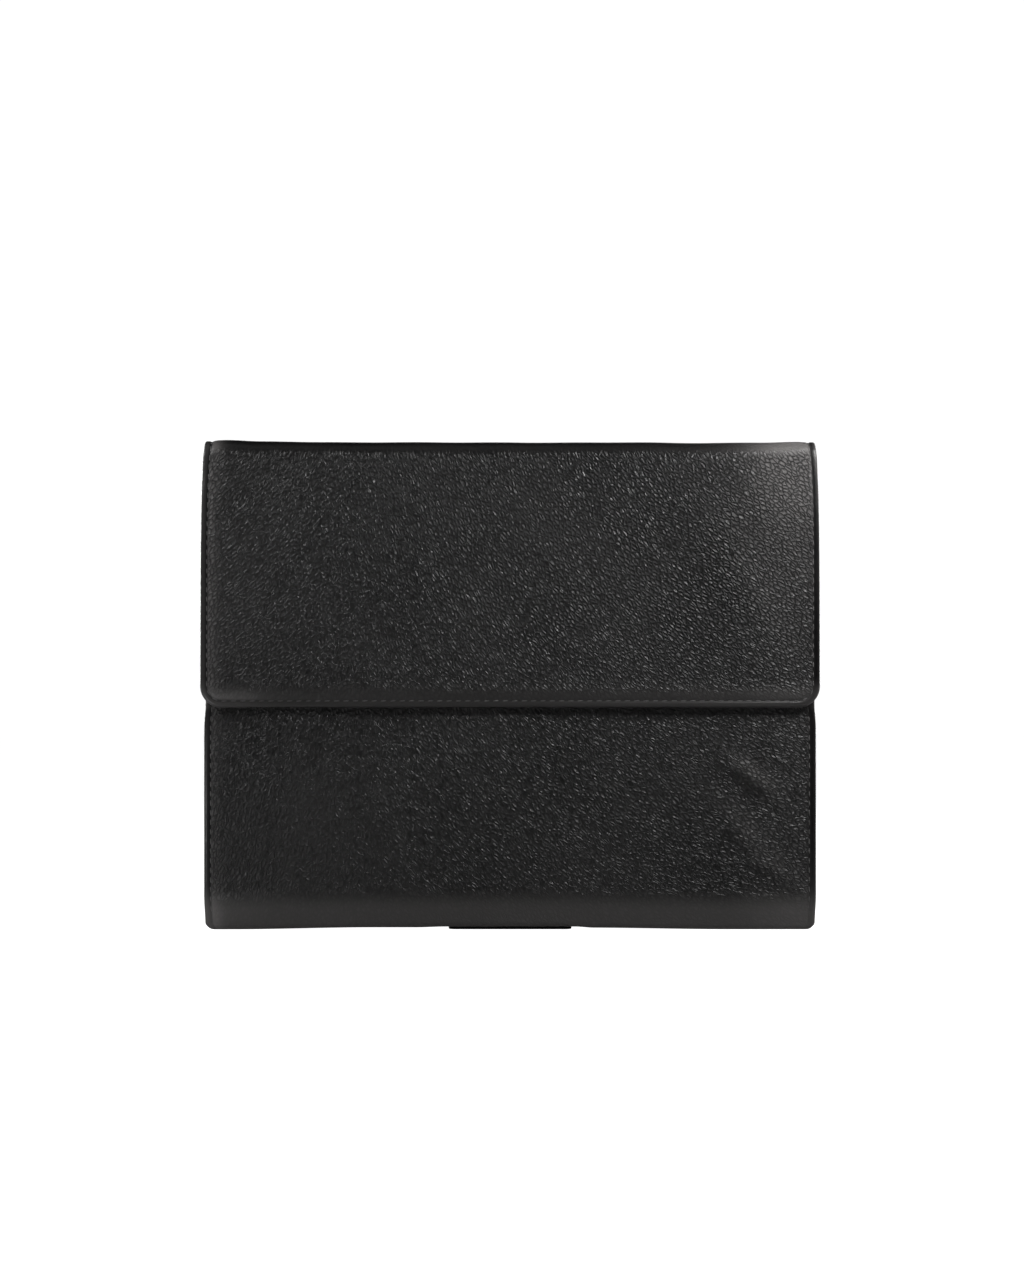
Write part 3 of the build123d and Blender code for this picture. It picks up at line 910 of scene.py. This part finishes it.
def sleeve():
    """The leather sleeve round the strap's middle: a flat section carried round a closed loop."""
    places, out = rounded_loop(sleeve_half, sleeve_back, sleeve_front, 1.35, 28)
    low, high = GRIP_LOW[2], GRIP_HIGH[2]
    rim = np.array([0, 0.12, 0.4, 0.9, 1.6, 2.3, 2.9, 3.4, 4.5, 7.0, 10.0])
    heights = np.concatenate([low + rim, [(low + high) / 2], high - rim[::-1]])
    d = np.minimum(heights - low, high - heights)
    full = nose(d, SLEEVE_THICK / 2)
    groove = -0.12 * bell(d - SLEEVE_SEAM, 0.6) + 0.12 * smooth((d - 3) / 5)
    inner = slice(-2, 0, -1)
    depth = SLEEVE_THICK / 2 * np.concatenate([1 - full, 1 + full[inner]])
    pressed = np.concatenate([groove, 0 * full[inner]])
    depth = depth - pressed * smooth(out[:, 1:])
    x, y = (places[:, k, None] - out[:, k, None] * depth for k in (0, 1))
    z = np.concatenate([heights, heights[inner]]) + 0 * x
    return loft("strap_grip_sleeve", np.stack([x, y, z], -1), 0.55, closed=True)


strap_sleeve = sleeve()
webbing_y = sleeve_back + SLEEVE_THICK
strap_webbing = flat_sheet(
    "strap_webbing",
    (-STRAP_HALF + SEAM, webbing_y + 0.02, GRIP_LOW[2] - 2.5),
    (STRAP_HALF - SEAM, webbing_y + 0.45, GRIP_HIGH[2] + 2.5),
    1,
    1.5,
    0.02,
)

# ---- stitches

draw = np.random.default_rng(5)


def stitch_shape():
    """One stitch, lying along its first axis: a bowed, pointed roll of thread."""
    t = np.array([0.0, 0.06, 0.18, 0.38, 0.62, 0.82, 0.94, 1.0])[:, None]
    thick = np.sqrt(np.clip(1 - np.abs(2 * t - 1) ** 3.2, 0.02, 1))
    angle = np.linspace(0, 2 * math.pi, 9)[None, :-1]
    u = (t - 0.5) * STITCH + 0 * angle
    v = 0.30 * thick * np.cos(angle)
    w = 0.27 * thick * np.sin(angle) + (0.2 * (1 - (2 * t - 1) ** 2) - 0.14)
    twist = np.stack([u, angle + 0 * u, 0 * u], -1)
    return np.stack([u, v, w], -1).reshape(-1, 3), tube_faces(*u.shape), twist.reshape(-1, 3)


STITCH_POINTS, STITCH_FACES, STITCH_TWIST = stitch_shape()


def unit(v):
    return v / np.linalg.norm(v, axis=1)[:, None]


def seam_places(points, normals):
    """Even places along a seam, each with its direction and the way it faces."""
    run = run_along(points)
    count = max(1, int(run[-1] / PITCH))
    at = (np.arange(count) + 0.5) * run[-1] / count

    def sample(where, values):
        return np.stack([np.interp(where, run, values[:, k]) for k in range(3)], -1)

    ahead = unit(sample(at + STITCH / 2, points) - sample(at - STITCH / 2, points))
    up = sample(at, normals)
    return sample(at, points), ahead, unit(up - (up * ahead).sum(1)[:, None] * ahead)


def stitches(name, seams):
    """All the stitches of some seams, as one piece. Each one slants and differs a little."""
    points, faces, twists = [], [], []
    for seam in seams:
        place, ahead, up = seam_places(*seam)
        for p, t, b, n in zip(place, ahead, np.cross(up, ahead), up):
            slant = math.radians(6 + draw.uniform(-3, 3))
            along = t * math.cos(slant) + b * math.sin(slant)
            across = b * math.cos(slant) - t * math.sin(slant)
            local = STITCH_POINTS * np.array([draw.uniform(0.94, 1.04), 1, 1])
            offset = len(points) * len(STITCH_POINTS)
            points.append(p + local[:, :1] * along + local[:, 1:2] * across + local[:, 2:] * n)
            faces += [[v + offset for v in f] for f in STITCH_FACES]
            twists.append(STITCH_TWIST + [0, 0, 3.0 * len(points)])
    return make_mesh(name, np.concatenate(points), faces, {"hide": np.concatenate(twists)})


def on_panel(panel, x, s, depth=0.05, inner=False):
    """A seam's points and the way they face, from its places on a panel."""
    x, s = np.broadcast_arrays(x, s)
    a = panel.outward(s)
    facing = np.stack([0 * a, np.cos(a), np.sin(a)], -1)
    return panel.point(x, s, depth_at(depth, s), 0.0 if inner else 1.0), -facing if inner else facing


def facing_seam(x, y, z, way):
    """A seam in the plane at y, which faces along +Y or -Y."""
    points = np.stack(np.broadcast_arrays(x, y, z), -1)
    return points, np.tile([0.0, way, 0.0], (len(points), 1))


def round_seam(panel, s_start, corner):
    """Down one side, along the free end and up the other side, as arrays of x and s."""
    low, radius = panel.length - corner, corner - SEAM
    side_s = spread(s_start, low, 1.0)
    side_x = panel.half(side_s) - SEAM
    turn = np.linspace(0, math.pi / 2, 12)[1:]
    centre = panel.half_of(None, np.array([0.0]))[0] - corner
    corner_x, corner_s = centre + radius * np.cos(turn), low + radius * np.sin(turn)
    end_x = spread(-centre, centre, 1.0)[1:-1]
    x = np.concatenate([-side_x, -corner_x, end_x, corner_x[::-1], side_x[::-1]])
    s = np.concatenate([side_s, corner_s, 0 * end_x + panel.length - SEAM, corner_s[::-1], side_s[::-1]])
    return x, s


def through_seam(name, panel, thick, places):
    """A seam that shows on the outer face and on the lining."""
    inside = on_panel(panel, *places, lambda s: thick(s) + 0.12, inner=True)
    return stitches(name, [on_panel(panel, *places), inside])


flap_stitches = through_seam("flap_stitches", flap, flap_thick, round_seam(flap, 1.0, FLAP_CORNER))
front_stitches = through_seam(
    "front_stitches", front, front_thick, round_seam(front, FRONT_LINING_S, SEAM + 0.6)
)
back_s = spread(15, back.length - 1.0, 1.0)
back_side = back.half(back_s) - SEAM
back_stitches = stitches("back_stitches", [on_panel(back, side * back_side, back_s) for side in (-1, 1)])


def strap_seams(panel, s_low, s_high, cross_heights):
    """The seams along a strap's sides, and those across it."""
    s_line = spread(s_low, s_high, 1.0)
    x_line = spread(-STRAP_HALF + SEAM + 2, STRAP_HALF - SEAM - 2, 1.0)
    sides = [on_panel(panel, side * (STRAP_HALF - SEAM), s_line, 0.04) for side in (-1, 1)]
    return sides + [on_panel(panel, x_line, panel.s_at(z), 0.04) for z in cross_heights]


strap_upper_stitches = stitches(
    "strap_upper_stitches",
    strap_seams(
        upper_strap, upper_strap.s_at(GRIP_HIGH[2] + 2), upper_strap.s_at(ANCHOR_HIGH[2] - SEAM - 2),
        (ANCHOR_HIGH[2] - SEAM, UPPER_SEAM_Z + SEAM),
    ),
)
strap_lower_stitches = stitches(
    "strap_lower_stitches",
    strap_seams(
        lower_strap, SEAM + 11, lower_strap.s_at(GRIP_LOW[2] - 2),
        (LOWER_SEAM_Z - SEAM, LOWER_SEAM_Z - 3 * SEAM),
    ),
)
sleeve_x = spread(-STRAP_HALF + 1, STRAP_HALF - 1, 1.0)
sleeve_stitches = stitches(
    "sleeve_stitches",
    [
        facing_seam(sleeve_x, sleeve_front - 0.08, z, 1.0)
        for z in (GRIP_LOW[2] + SLEEVE_SEAM, GRIP_HIGH[2] - SLEEVE_SEAM)
    ],
)

SLIP_SEAM = 2.2
slip_bottom, slip_side = SLIP_LOW[2] + SLIP_SEAM, SLIP_HIGH[0] - SLIP_SEAM
slip_z = spread(slip_bottom, SLIP_HIGH[2] - 3, 1.0)
slip_x = spread(-slip_side, slip_side, 1.0)[1:-1]
binding_x = spread(BIND_LOW[0] + 2, BIND_HIGH[0] - 2, 1.0)
slip_stitches = stitches(
    "slip_pocket_stitches",
    [
        facing_seam(
            np.concatenate([0 * slip_z - slip_side, slip_x, 0 * slip_z + slip_side]),
            SLIP_LOW[1] - 0.02,
            np.concatenate([slip_z[::-1], 0 * slip_x + slip_bottom, slip_z]),
            -1.0,
        ),
        facing_seam(binding_x, BIND_LOW[1] + 0.02, BIND_LOW[2] + 1.6 + binding_sag(binding_x), -1.0),
    ],
)

# ---- magnet covers inside the flap

MAGNET_LOW, MAGNET_HIGH = box_mm("flap_magnets")
MAGNET_Z = (MAGNET_LOW[2] + MAGNET_HIGH[2]) / 2
MAGNET_R = (MAGNET_HIGH[2] - MAGNET_LOW[2]) / 2
MAGNET_X = MAGNET_HIGH[0] - MAGNET_R
COVER_R = MAGNET_R + 2.2
COVER_SEAM_R = MAGNET_R + 1.3
# radius and height above the flap's inner face, from the rim to the middle
COVER_PROFILE = (
    (COVER_R, -0.25),
    (COVER_R, 0.05),
    (COVER_R - 0.3, 0.16),
    (COVER_R - 0.9, 0.14),
    (MAGNET_R + 0.6, 0.16),
    (MAGNET_R - 0.2, 0.30),
    (MAGNET_R - 1.2, 0.36),
    (4.0, 0.38),
    (1.5, 0.385),
)


def magnet_ring(side, radius, lift, a):
    """Points round a magnet, as x, y and z. side is +1 at the right and -1 at the left."""
    x, z = side * MAGNET_X + radius * np.cos(a), MAGNET_Z + radius * np.sin(a)
    return x, 0 * a + FLAP_HIGH[1] + lift, z


def magnet_cover(side, name):
    """A disc of lining over a magnet, domed and pressed down at its rim."""
    a = np.linspace(0, 2 * math.pi, 41)[:-1]
    rings = np.array([np.stack(magnet_ring(side, r, lift, a), -1) for r, lift in COVER_PROFILE])
    return loft(name, rings[:, ::-1], 1.0)


magnet_covers = [magnet_cover(-1, "magnet_cover_left"), magnet_cover(1, "magnet_cover_right")]
ring_angle = np.linspace(0, 2 * math.pi, 60)
magnet_stitches = stitches(
    "magnet_stitches",
    [facing_seam(*magnet_ring(side, COVER_SEAM_R, 0.14, ring_angle), 1.0) for side in (-1, 1)],
)

# ---- materials


class Nodes:
    """A material's or the world's node tree, with short names for building it."""

    def __init__(self, owner, shader="Principled BSDF"):
        owner.use_nodes = True
        self.owner, self.tree = owner, owner.node_tree
        self.shader = self.tree.nodes[shader].inputs

    def give(self, socket, value):
        if isinstance(value, bpy.types.NodeSocket):
            self.tree.links.new(value, socket)
        else:
            socket.default_value = value

    def set(self, **values):
        """Links or sets the shader's inputs. An underscore stands for a space."""
        for key, value in values.items():
            self.give(self.shader[key.replace("_", " ")], value)
        return self.owner

    def add(self, kind, inputs=None, **settings):
        made = self.tree.nodes.new("ShaderNode" + kind)
        for key, value in settings.items():
            setattr(made, key, value)
        for key, value in (inputs or {}).items():
            self.give(made.inputs[key], value)
        return made

    def attribute(self, name, output="Fac"):
        return self.add("Attribute", attribute_name=name).outputs[output]

    def noise(self, place, scale, detail, output="Fac", **more):
        inputs = {"Vector": place, "Scale": scale, "Detail": detail, **more}
        return self.add("TexNoise", inputs).outputs[output]

    def cells(self, place, scale, randomness):
        """The distance to the nearest crease between cells."""
        inputs = {"Vector": place, "Scale": scale, "Randomness": randomness}
        return self.add("TexVoronoi", inputs, feature="DISTANCE_TO_EDGE").outputs["Distance"]

    def math(self, operation, a, b=0.0, clamp=False):
        return self.add("Math", {0: a, 1: b}, operation=operation, use_clamp=clamp).outputs[0]

    def plus(self, a, b, clamp=False):
        return self.math("ADD", a, b, clamp)

    def times(self, a, b):
        return self.math("MULTIPLY", a, b)

    def wave(self, value):
        return self.math("ABSOLUTE", self.math("SINE", value))

    def vector(self, operation, a, b):
        inputs = {0: a, "Scale" if operation == "SCALE" else 1: b}
        return self.add("VectorMath", inputs, operation=operation).outputs[0]

    def ramp(self, value, low, high, to_low=0.0, to_high=1.0, kind="SMOOTHSTEP"):
        inputs = {"Value": value, "From Min": low, "From Max": high, "To Min": to_low, "To Max": to_high}
        return self.add("MapRange", inputs, interpolation_type=kind).outputs["Result"]

    def mix(self, share, a, b):
        inputs = {0: share, 6: (*a, 1) if isinstance(a, tuple) else a, 7: (*b, 1)}
        return self.add("Mix", inputs, data_type="RGBA").outputs[2]

    def bump(self, height, strength, distance):
        inputs = {"Height": height, "Strength": strength, "Distance": distance * MM}
        return self.add("Bump", inputs).outputs["Normal"]


def material(name):
    return Nodes(bpy.data.materials.new(name))


def leather(name, dark, light, painted_sheen_and_rub, pitch, depth, rough, edge_rough):
    """Pebbled leather. Its pebbles follow the hide coordinates, which grain_map stretches along the grain."""
    n = material(name)
    hide = n.attribute("hide", "Vector")
    grain, edge, painted_sheen_and_wear = (n.attribute(key) for key in ("grain", "edge", "painted_sheen_and_wear"))
    wander = n.vector("SUBTRACT", n.noise(hide, 0.55 / pitch, 2.0, "Color"), (0.5, 0.5, 0.5))
    place = n.vector("ADD", hide, n.vector("SCALE", wander, 0.8 * pitch))
    dome = n.math("POWER", n.ramp(n.cells(place, 1 / pitch, 0.9), 0.0, 0.42, 0.0, 1.0, "LINEAR"), 0.7)
    height = n.times(dome, n.ramp(n.cells(place, 1.6 / pitch, 1.0), 0.0, 0.12, 0.8, 1.0))
    pebbles = n.times(height, grain)
    pore = n.noise(hide, 3.2, 3.0)
    patch = n.noise(hide, 0.02, 3.0)
    # the pebble tops take the light colour and the creases between them the dark one: painted shade in the
    # creases; the slow patches are the hide's own uneven tone
    tone = n.plus(n.times(pebbles, 0.7), n.ramp(patch, 0.35, 0.7, 0.0, 0.3), clamp=True)
    tone = n.plus(tone, n.times(edge, 0.1), clamp=True)
    raised = n.math("SUBTRACT", 1.0, n.times(n.math("SUBTRACT", 1.0, height), grain))
    shine = n.ramp(pebbles, 0.0, 1.0, rough - 0.17, rough, "LINEAR")
    shine = n.math("SUBTRACT", shine, n.times(edge, rough - edge_rough))
    shine = n.plus(shine, n.ramp(patch, 0.3, 0.7, -0.03, 0.04, "LINEAR"))
    return n.set(
        # the pale colour that the mask mixes in on the pebble tops is painted sheen and highlights; the mask
        # also adds some roughness
        Base_Color=n.mix(n.times(painted_sheen_and_wear, raised), n.mix(tone, dark, light), painted_sheen_and_rub),
        Roughness=n.plus(shine, n.times(painted_sheen_and_wear, 0.12)),
        Normal=n.bump(n.plus(pebbles, n.times(pore, 0.08)), 1.0, depth),
        Specular_IOR_Level=0.38,
    )


def cloth_material(name, dark, light, scale, depth):
    """Napped lining cloth."""
    n = material(name)
    hide = n.attribute("hide", "Vector")
    nap = n.noise(hide, scale, 4.0, Roughness=0.65)
    patch = n.noise(hide, 0.05, 2.0)
    tone = n.plus(n.ramp(nap, 0.3, 0.7, 0.0, 0.6), n.ramp(patch, 0.3, 0.7, 0.0, 0.4), clamp=True)
    return n.set(
        Base_Color=n.mix(tone, dark, light),
        Roughness=n.ramp(nap, 0.2, 0.8, 0.95, 0.8, "LINEAR"),
        Normal=n.bump(nap, 0.8, depth),
        Sheen_Weight=0.25,
        Sheen_Roughness=0.5,
        Specular_IOR_Level=0.25,
    )


def thread_material():
    """Waxed, twisted thread."""
    n = material("waxed_thread")
    hide = n.attribute("hide", "Vector")
    parts = n.add("SeparateXYZ", {"Vector": hide}).outputs
    ply = n.wave(n.plus(n.times(parts["X"], 9.0), parts["Y"]))
    fuzz = n.noise(hide, 6.0, 2.0)
    tone = n.plus(n.times(ply, 0.7), n.times(fuzz, 0.3), clamp=True)
    return n.set(
        # the black thread is painted grey along the ridges of its twist and in flecks: painted highlights
        Base_Color=n.mix(tone, (0.004, 0.004, 0.004), (0.15, 0.145, 0.143)),
        Roughness=n.ramp(fuzz, 0.3, 0.7, 0.28, 0.45, "LINEAR"),
        Normal=n.bump(ply, 0.9, 0.08),
    )


def webbing_material():
    """Woven elastic: ribs along it and fine ribs across."""
    n = material("elastic_webbing")
    parts = n.add("SeparateXYZ", {"Vector": n.attribute("hide", "Vector")}).outputs
    rib, pick = n.wave(n.times(parts["X"], 2.4)), n.wave(n.times(parts["Y"], 4.5))
    weave = n.plus(n.times(rib, 0.65), n.times(pick, 0.35))
    return n.set(
        Base_Color=n.mix(weave, (0.008, 0.008, 0.009), (0.04, 0.04, 0.042)),
        Roughness=n.ramp(weave, 0.0, 1.0, 0.85, 0.65, "LINEAR"),
        Normal=n.bump(weave, 0.9, 0.15),
    )


# in each set, the darkest colour is the painted shade in the pebbles' creases, and the palest is the painted
# sheen and highlights that the mask mixes in
SHELL = {"dark": (0.0008, 0.0008, 0.0009), "light": (0.026, 0.0246, 0.0246), "painted_sheen_and_rub": (0.13, 0.124, 0.122)}
PLAIN = {"dark": (0.006, 0.006, 0.0065), "light": (0.014, 0.0135, 0.014), "painted_sheen_and_rub": (0.05, 0.048, 0.048)}
hide_leather = leather("hide_leather", **SHELL, pitch=1.35, depth=0.5, rough=0.47, edge_rough=0.42)
lining_cloth = cloth_material("lining_cloth", (0.035, 0.035, 0.038), (0.07, 0.07, 0.074), 1.6, 0.12)
gusset_leather = leather("gusset_leather", **PLAIN, pitch=1.2, depth=0.10, rough=0.55, edge_rough=0.5)
strap_leather = leather("strap_leather", **PLAIN, pitch=1.9, depth=0.18, rough=0.45, edge_rough=0.38)
thread = thread_material()
webbing = webbing_material()


def dress(pieces, look):
    """Gives pieces their material."""
    for piece in pieces:
        piece.data.materials.append(look)


dress([flap_hide, front_hide, back_hide], hide_leather)
dress([strap_lower, strap_upper, strap_sleeve], strap_leather)
dress([left_gusset, right_gusset], gusset_leather)
dress([slip_binding], gusset_leather)
linings = [flap_lining, front_lining, back_lining, floor_lining, slip_sheet, *magnet_covers]
dress(linings, lining_cloth)
dress([strap_webbing], webbing)
dress([flap_stitches, front_stitches, back_stitches, strap_upper_stitches], thread)
dress([strap_lower_stitches, sleeve_stitches, slip_stitches, magnet_stitches], thread)


# ---- riding

REACH = 6.5  # how far the start and the end of a crease's bend lie from its joint


def crease(joint, towards):
    """The start and end of the bend at a crease, from its joint and the direction across it."""
    a = np.array(pivots[joint], float)
    t = np.array(towards, float)
    t /= np.linalg.norm(t)
    return tuple((a - t * REACH * MM).tolist()), tuple((a + t * REACH * MM).tolist())


def bend(start, end):
    """A bend between two (y, z) places in millimetres."""
    return tuple((0, y * MM, z * MM) for y, z in (start, end))


pivots = {j["name"]: j.get("pos_m") for j in frame["joints"]}
FLAP_BEND = crease("flap_crease", (0, -1, -1))
BACK_BEND = crease("top_crease", (0, -1, 1))

for piece in (flap_hide, flap_lining, flap_stitches):
    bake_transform(piece)
for piece in (back_hide, back_lining, back_stitches):
    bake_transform(piece)
for piece in (front_hide, front_lining, front_stitches):
    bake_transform(piece)
for piece in (left_gusset, right_gusset):
    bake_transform(piece)
for piece in (strap_upper, strap_upper_stitches):
    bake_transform(piece)
for piece in (strap_lower, strap_lower_stitches):
    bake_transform(piece)
for piece in (floor_lining, slip_sheet, slip_binding, slip_stitches):
    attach(piece, "case_body")
for piece in (strap_sleeve, strap_webbing, sleeve_stitches):
    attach(piece, "hand_strap")
for piece in (*magnet_covers, magnet_stitches):
    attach(piece, "flap")

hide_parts("flap_leather", "flap_wadding", "flap_board")
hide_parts("flap_lining")
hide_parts("flap_thread")
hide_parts("flap_magnets")
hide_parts("back_leather", "back_wadding", "back_board", "top_fold_leather", "top_fold_board")
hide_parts("back_lining", "top_fold_lining")
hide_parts("back_panel_thread")
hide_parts("front_leather", "front_wadding", "front_board", "keeper_plates")
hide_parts("front_lining")
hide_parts("front_panel_thread")
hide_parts("left_gusset")
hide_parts("right_gusset")
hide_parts("base_lining", "base_board")
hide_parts("slip_pocket")
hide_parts("slip_pocket_binding")
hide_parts("slip_pocket_thread")
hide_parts("strap_upper_anchor", "strap_upper_span")
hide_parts("strap_lower_anchor", "strap_lower_span")
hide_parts("strap_grip")
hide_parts("strap_grip_elastic")
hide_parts("strap_thread")

# ---- stage

scene = bpy.context.scene
WHITE = (1, 1, 1, 1)
FLOOR_HALF_M = 6
floor_mesh = bpy.data.meshes.new("floor")
floor_corners = [(x * FLOOR_HALF_M, y * FLOOR_HALF_M, 0) for x, y in ((-1, -1), (1, -1), (1, 1), (-1, 1))]
floor_mesh.from_pydata(floor_corners, [], [(0, 1, 2, 3)])
floor = bpy.data.objects.new("floor", floor_mesh)
scene.collection.objects.link(floor)


def seen(n, unseen, direct):
    """A strength that differs between what the camera sees directly and what lights the case."""
    ray = n.add("LightPath").outputs["Is Camera Ray"]
    return n.ramp(ray, 0, 1, unseen, direct, "LINEAR")


pale = material("floor_material")
pale.set(Base_Color=(0.45, 0.45, 0.45, 1), Roughness=0.9, Emission_Color=WHITE)
floor_mesh.materials.append(pale.set(Emission_Strength=seen(pale, 0.04, 1.0)))

world = bpy.data.worlds.new("world")
scene.world = world
sky = Nodes(world, "Background")
sky.set(Strength=seen(sky, 0.01, 1.05), Color=WHITE)


def area(name, place, target, size, power):
    """A soft box that faces its target. Places and sizes are metres."""
    light = bpy.data.lights.new(name, "AREA")
    light.shape = "RECTANGLE"
    light.size, light.size_y = size
    light.energy = power
    made = bpy.data.objects.new(name, light)
    made.location = place
    made.rotation_euler = (Vector(target) - Vector(place)).to_track_quat("-Z", "Y").to_euler()
    made.visible_camera = False
    scene.collection.objects.link(made)


# small lights close by, for the shine at the top right corner and down the left side
area("corner_light", (0.21, -0.16, 0.31), (0.12, 0, 0.19), (0.07, 0.07), 0.7)
area("key", (1.3, -0.5, 0.95), (0.08, 0, 0.15), (0.4, 0.4), 1.3)
area("left_light", (-0.95, -0.3, 1.0), (-0.1, 0, 0.12), (0.3, 0.5), 2.4)
area("left_edge_light", (-0.205, -0.085, 0.24), (-0.13, 0, 0.17), (0.02, 0.06), 0.08)
area("left_low_light", (-0.2, -0.09, 0.045), (-0.128, 0, 0.05), (0.02, 0.05), 0.034)
# broad lights, for the level of the whole front and back
area("top_light", (0, -0.3, 1.5), (0, 0, 0.1), (1.2, 0.7), 0.85)
area("top_front_light", (0, -0.8, 1.2), (0, 0, 0.1), (1.2, 0.8), 0.35)
area("back_light", (0.2, 1.4, 0.5), (0, 0, 0.1), (1.0, 0.6), 3)
area("back_key", (-0.9, 0.7, 0.35), (0, 0, 0.1), (0.4, 0.5), 13)
area("back_fill", (0.9, 0.9, 0.3), (0, 0, 0.1), (0.4, 0.5), 7)

SENSOR = 36  # millimetres
DISTANCE = 1.5  # metres from the camera to the flap
SEEN_HIGH = 0.5484  # metres from the top to the bottom of the picture, at the flap
camera_data = bpy.data.cameras.new("camera")
camera = bpy.data.objects.new("camera", camera_data)
scene.collection.objects.link(camera)
bpy.context.scene.camera = camera
camera_data.sensor_width = SENSOR
camera_data.lens = SENSOR * DISTANCE / SEEN_HIGH
camera_data.shift_y = 45.0 / 1280
camera.location = (0.00085, FLAP_Y * MM - DISTANCE, 0.1052)
camera.rotation_euler = (math.pi / 2, 0, 0)
scene.view_settings.view_transform = "Standard"
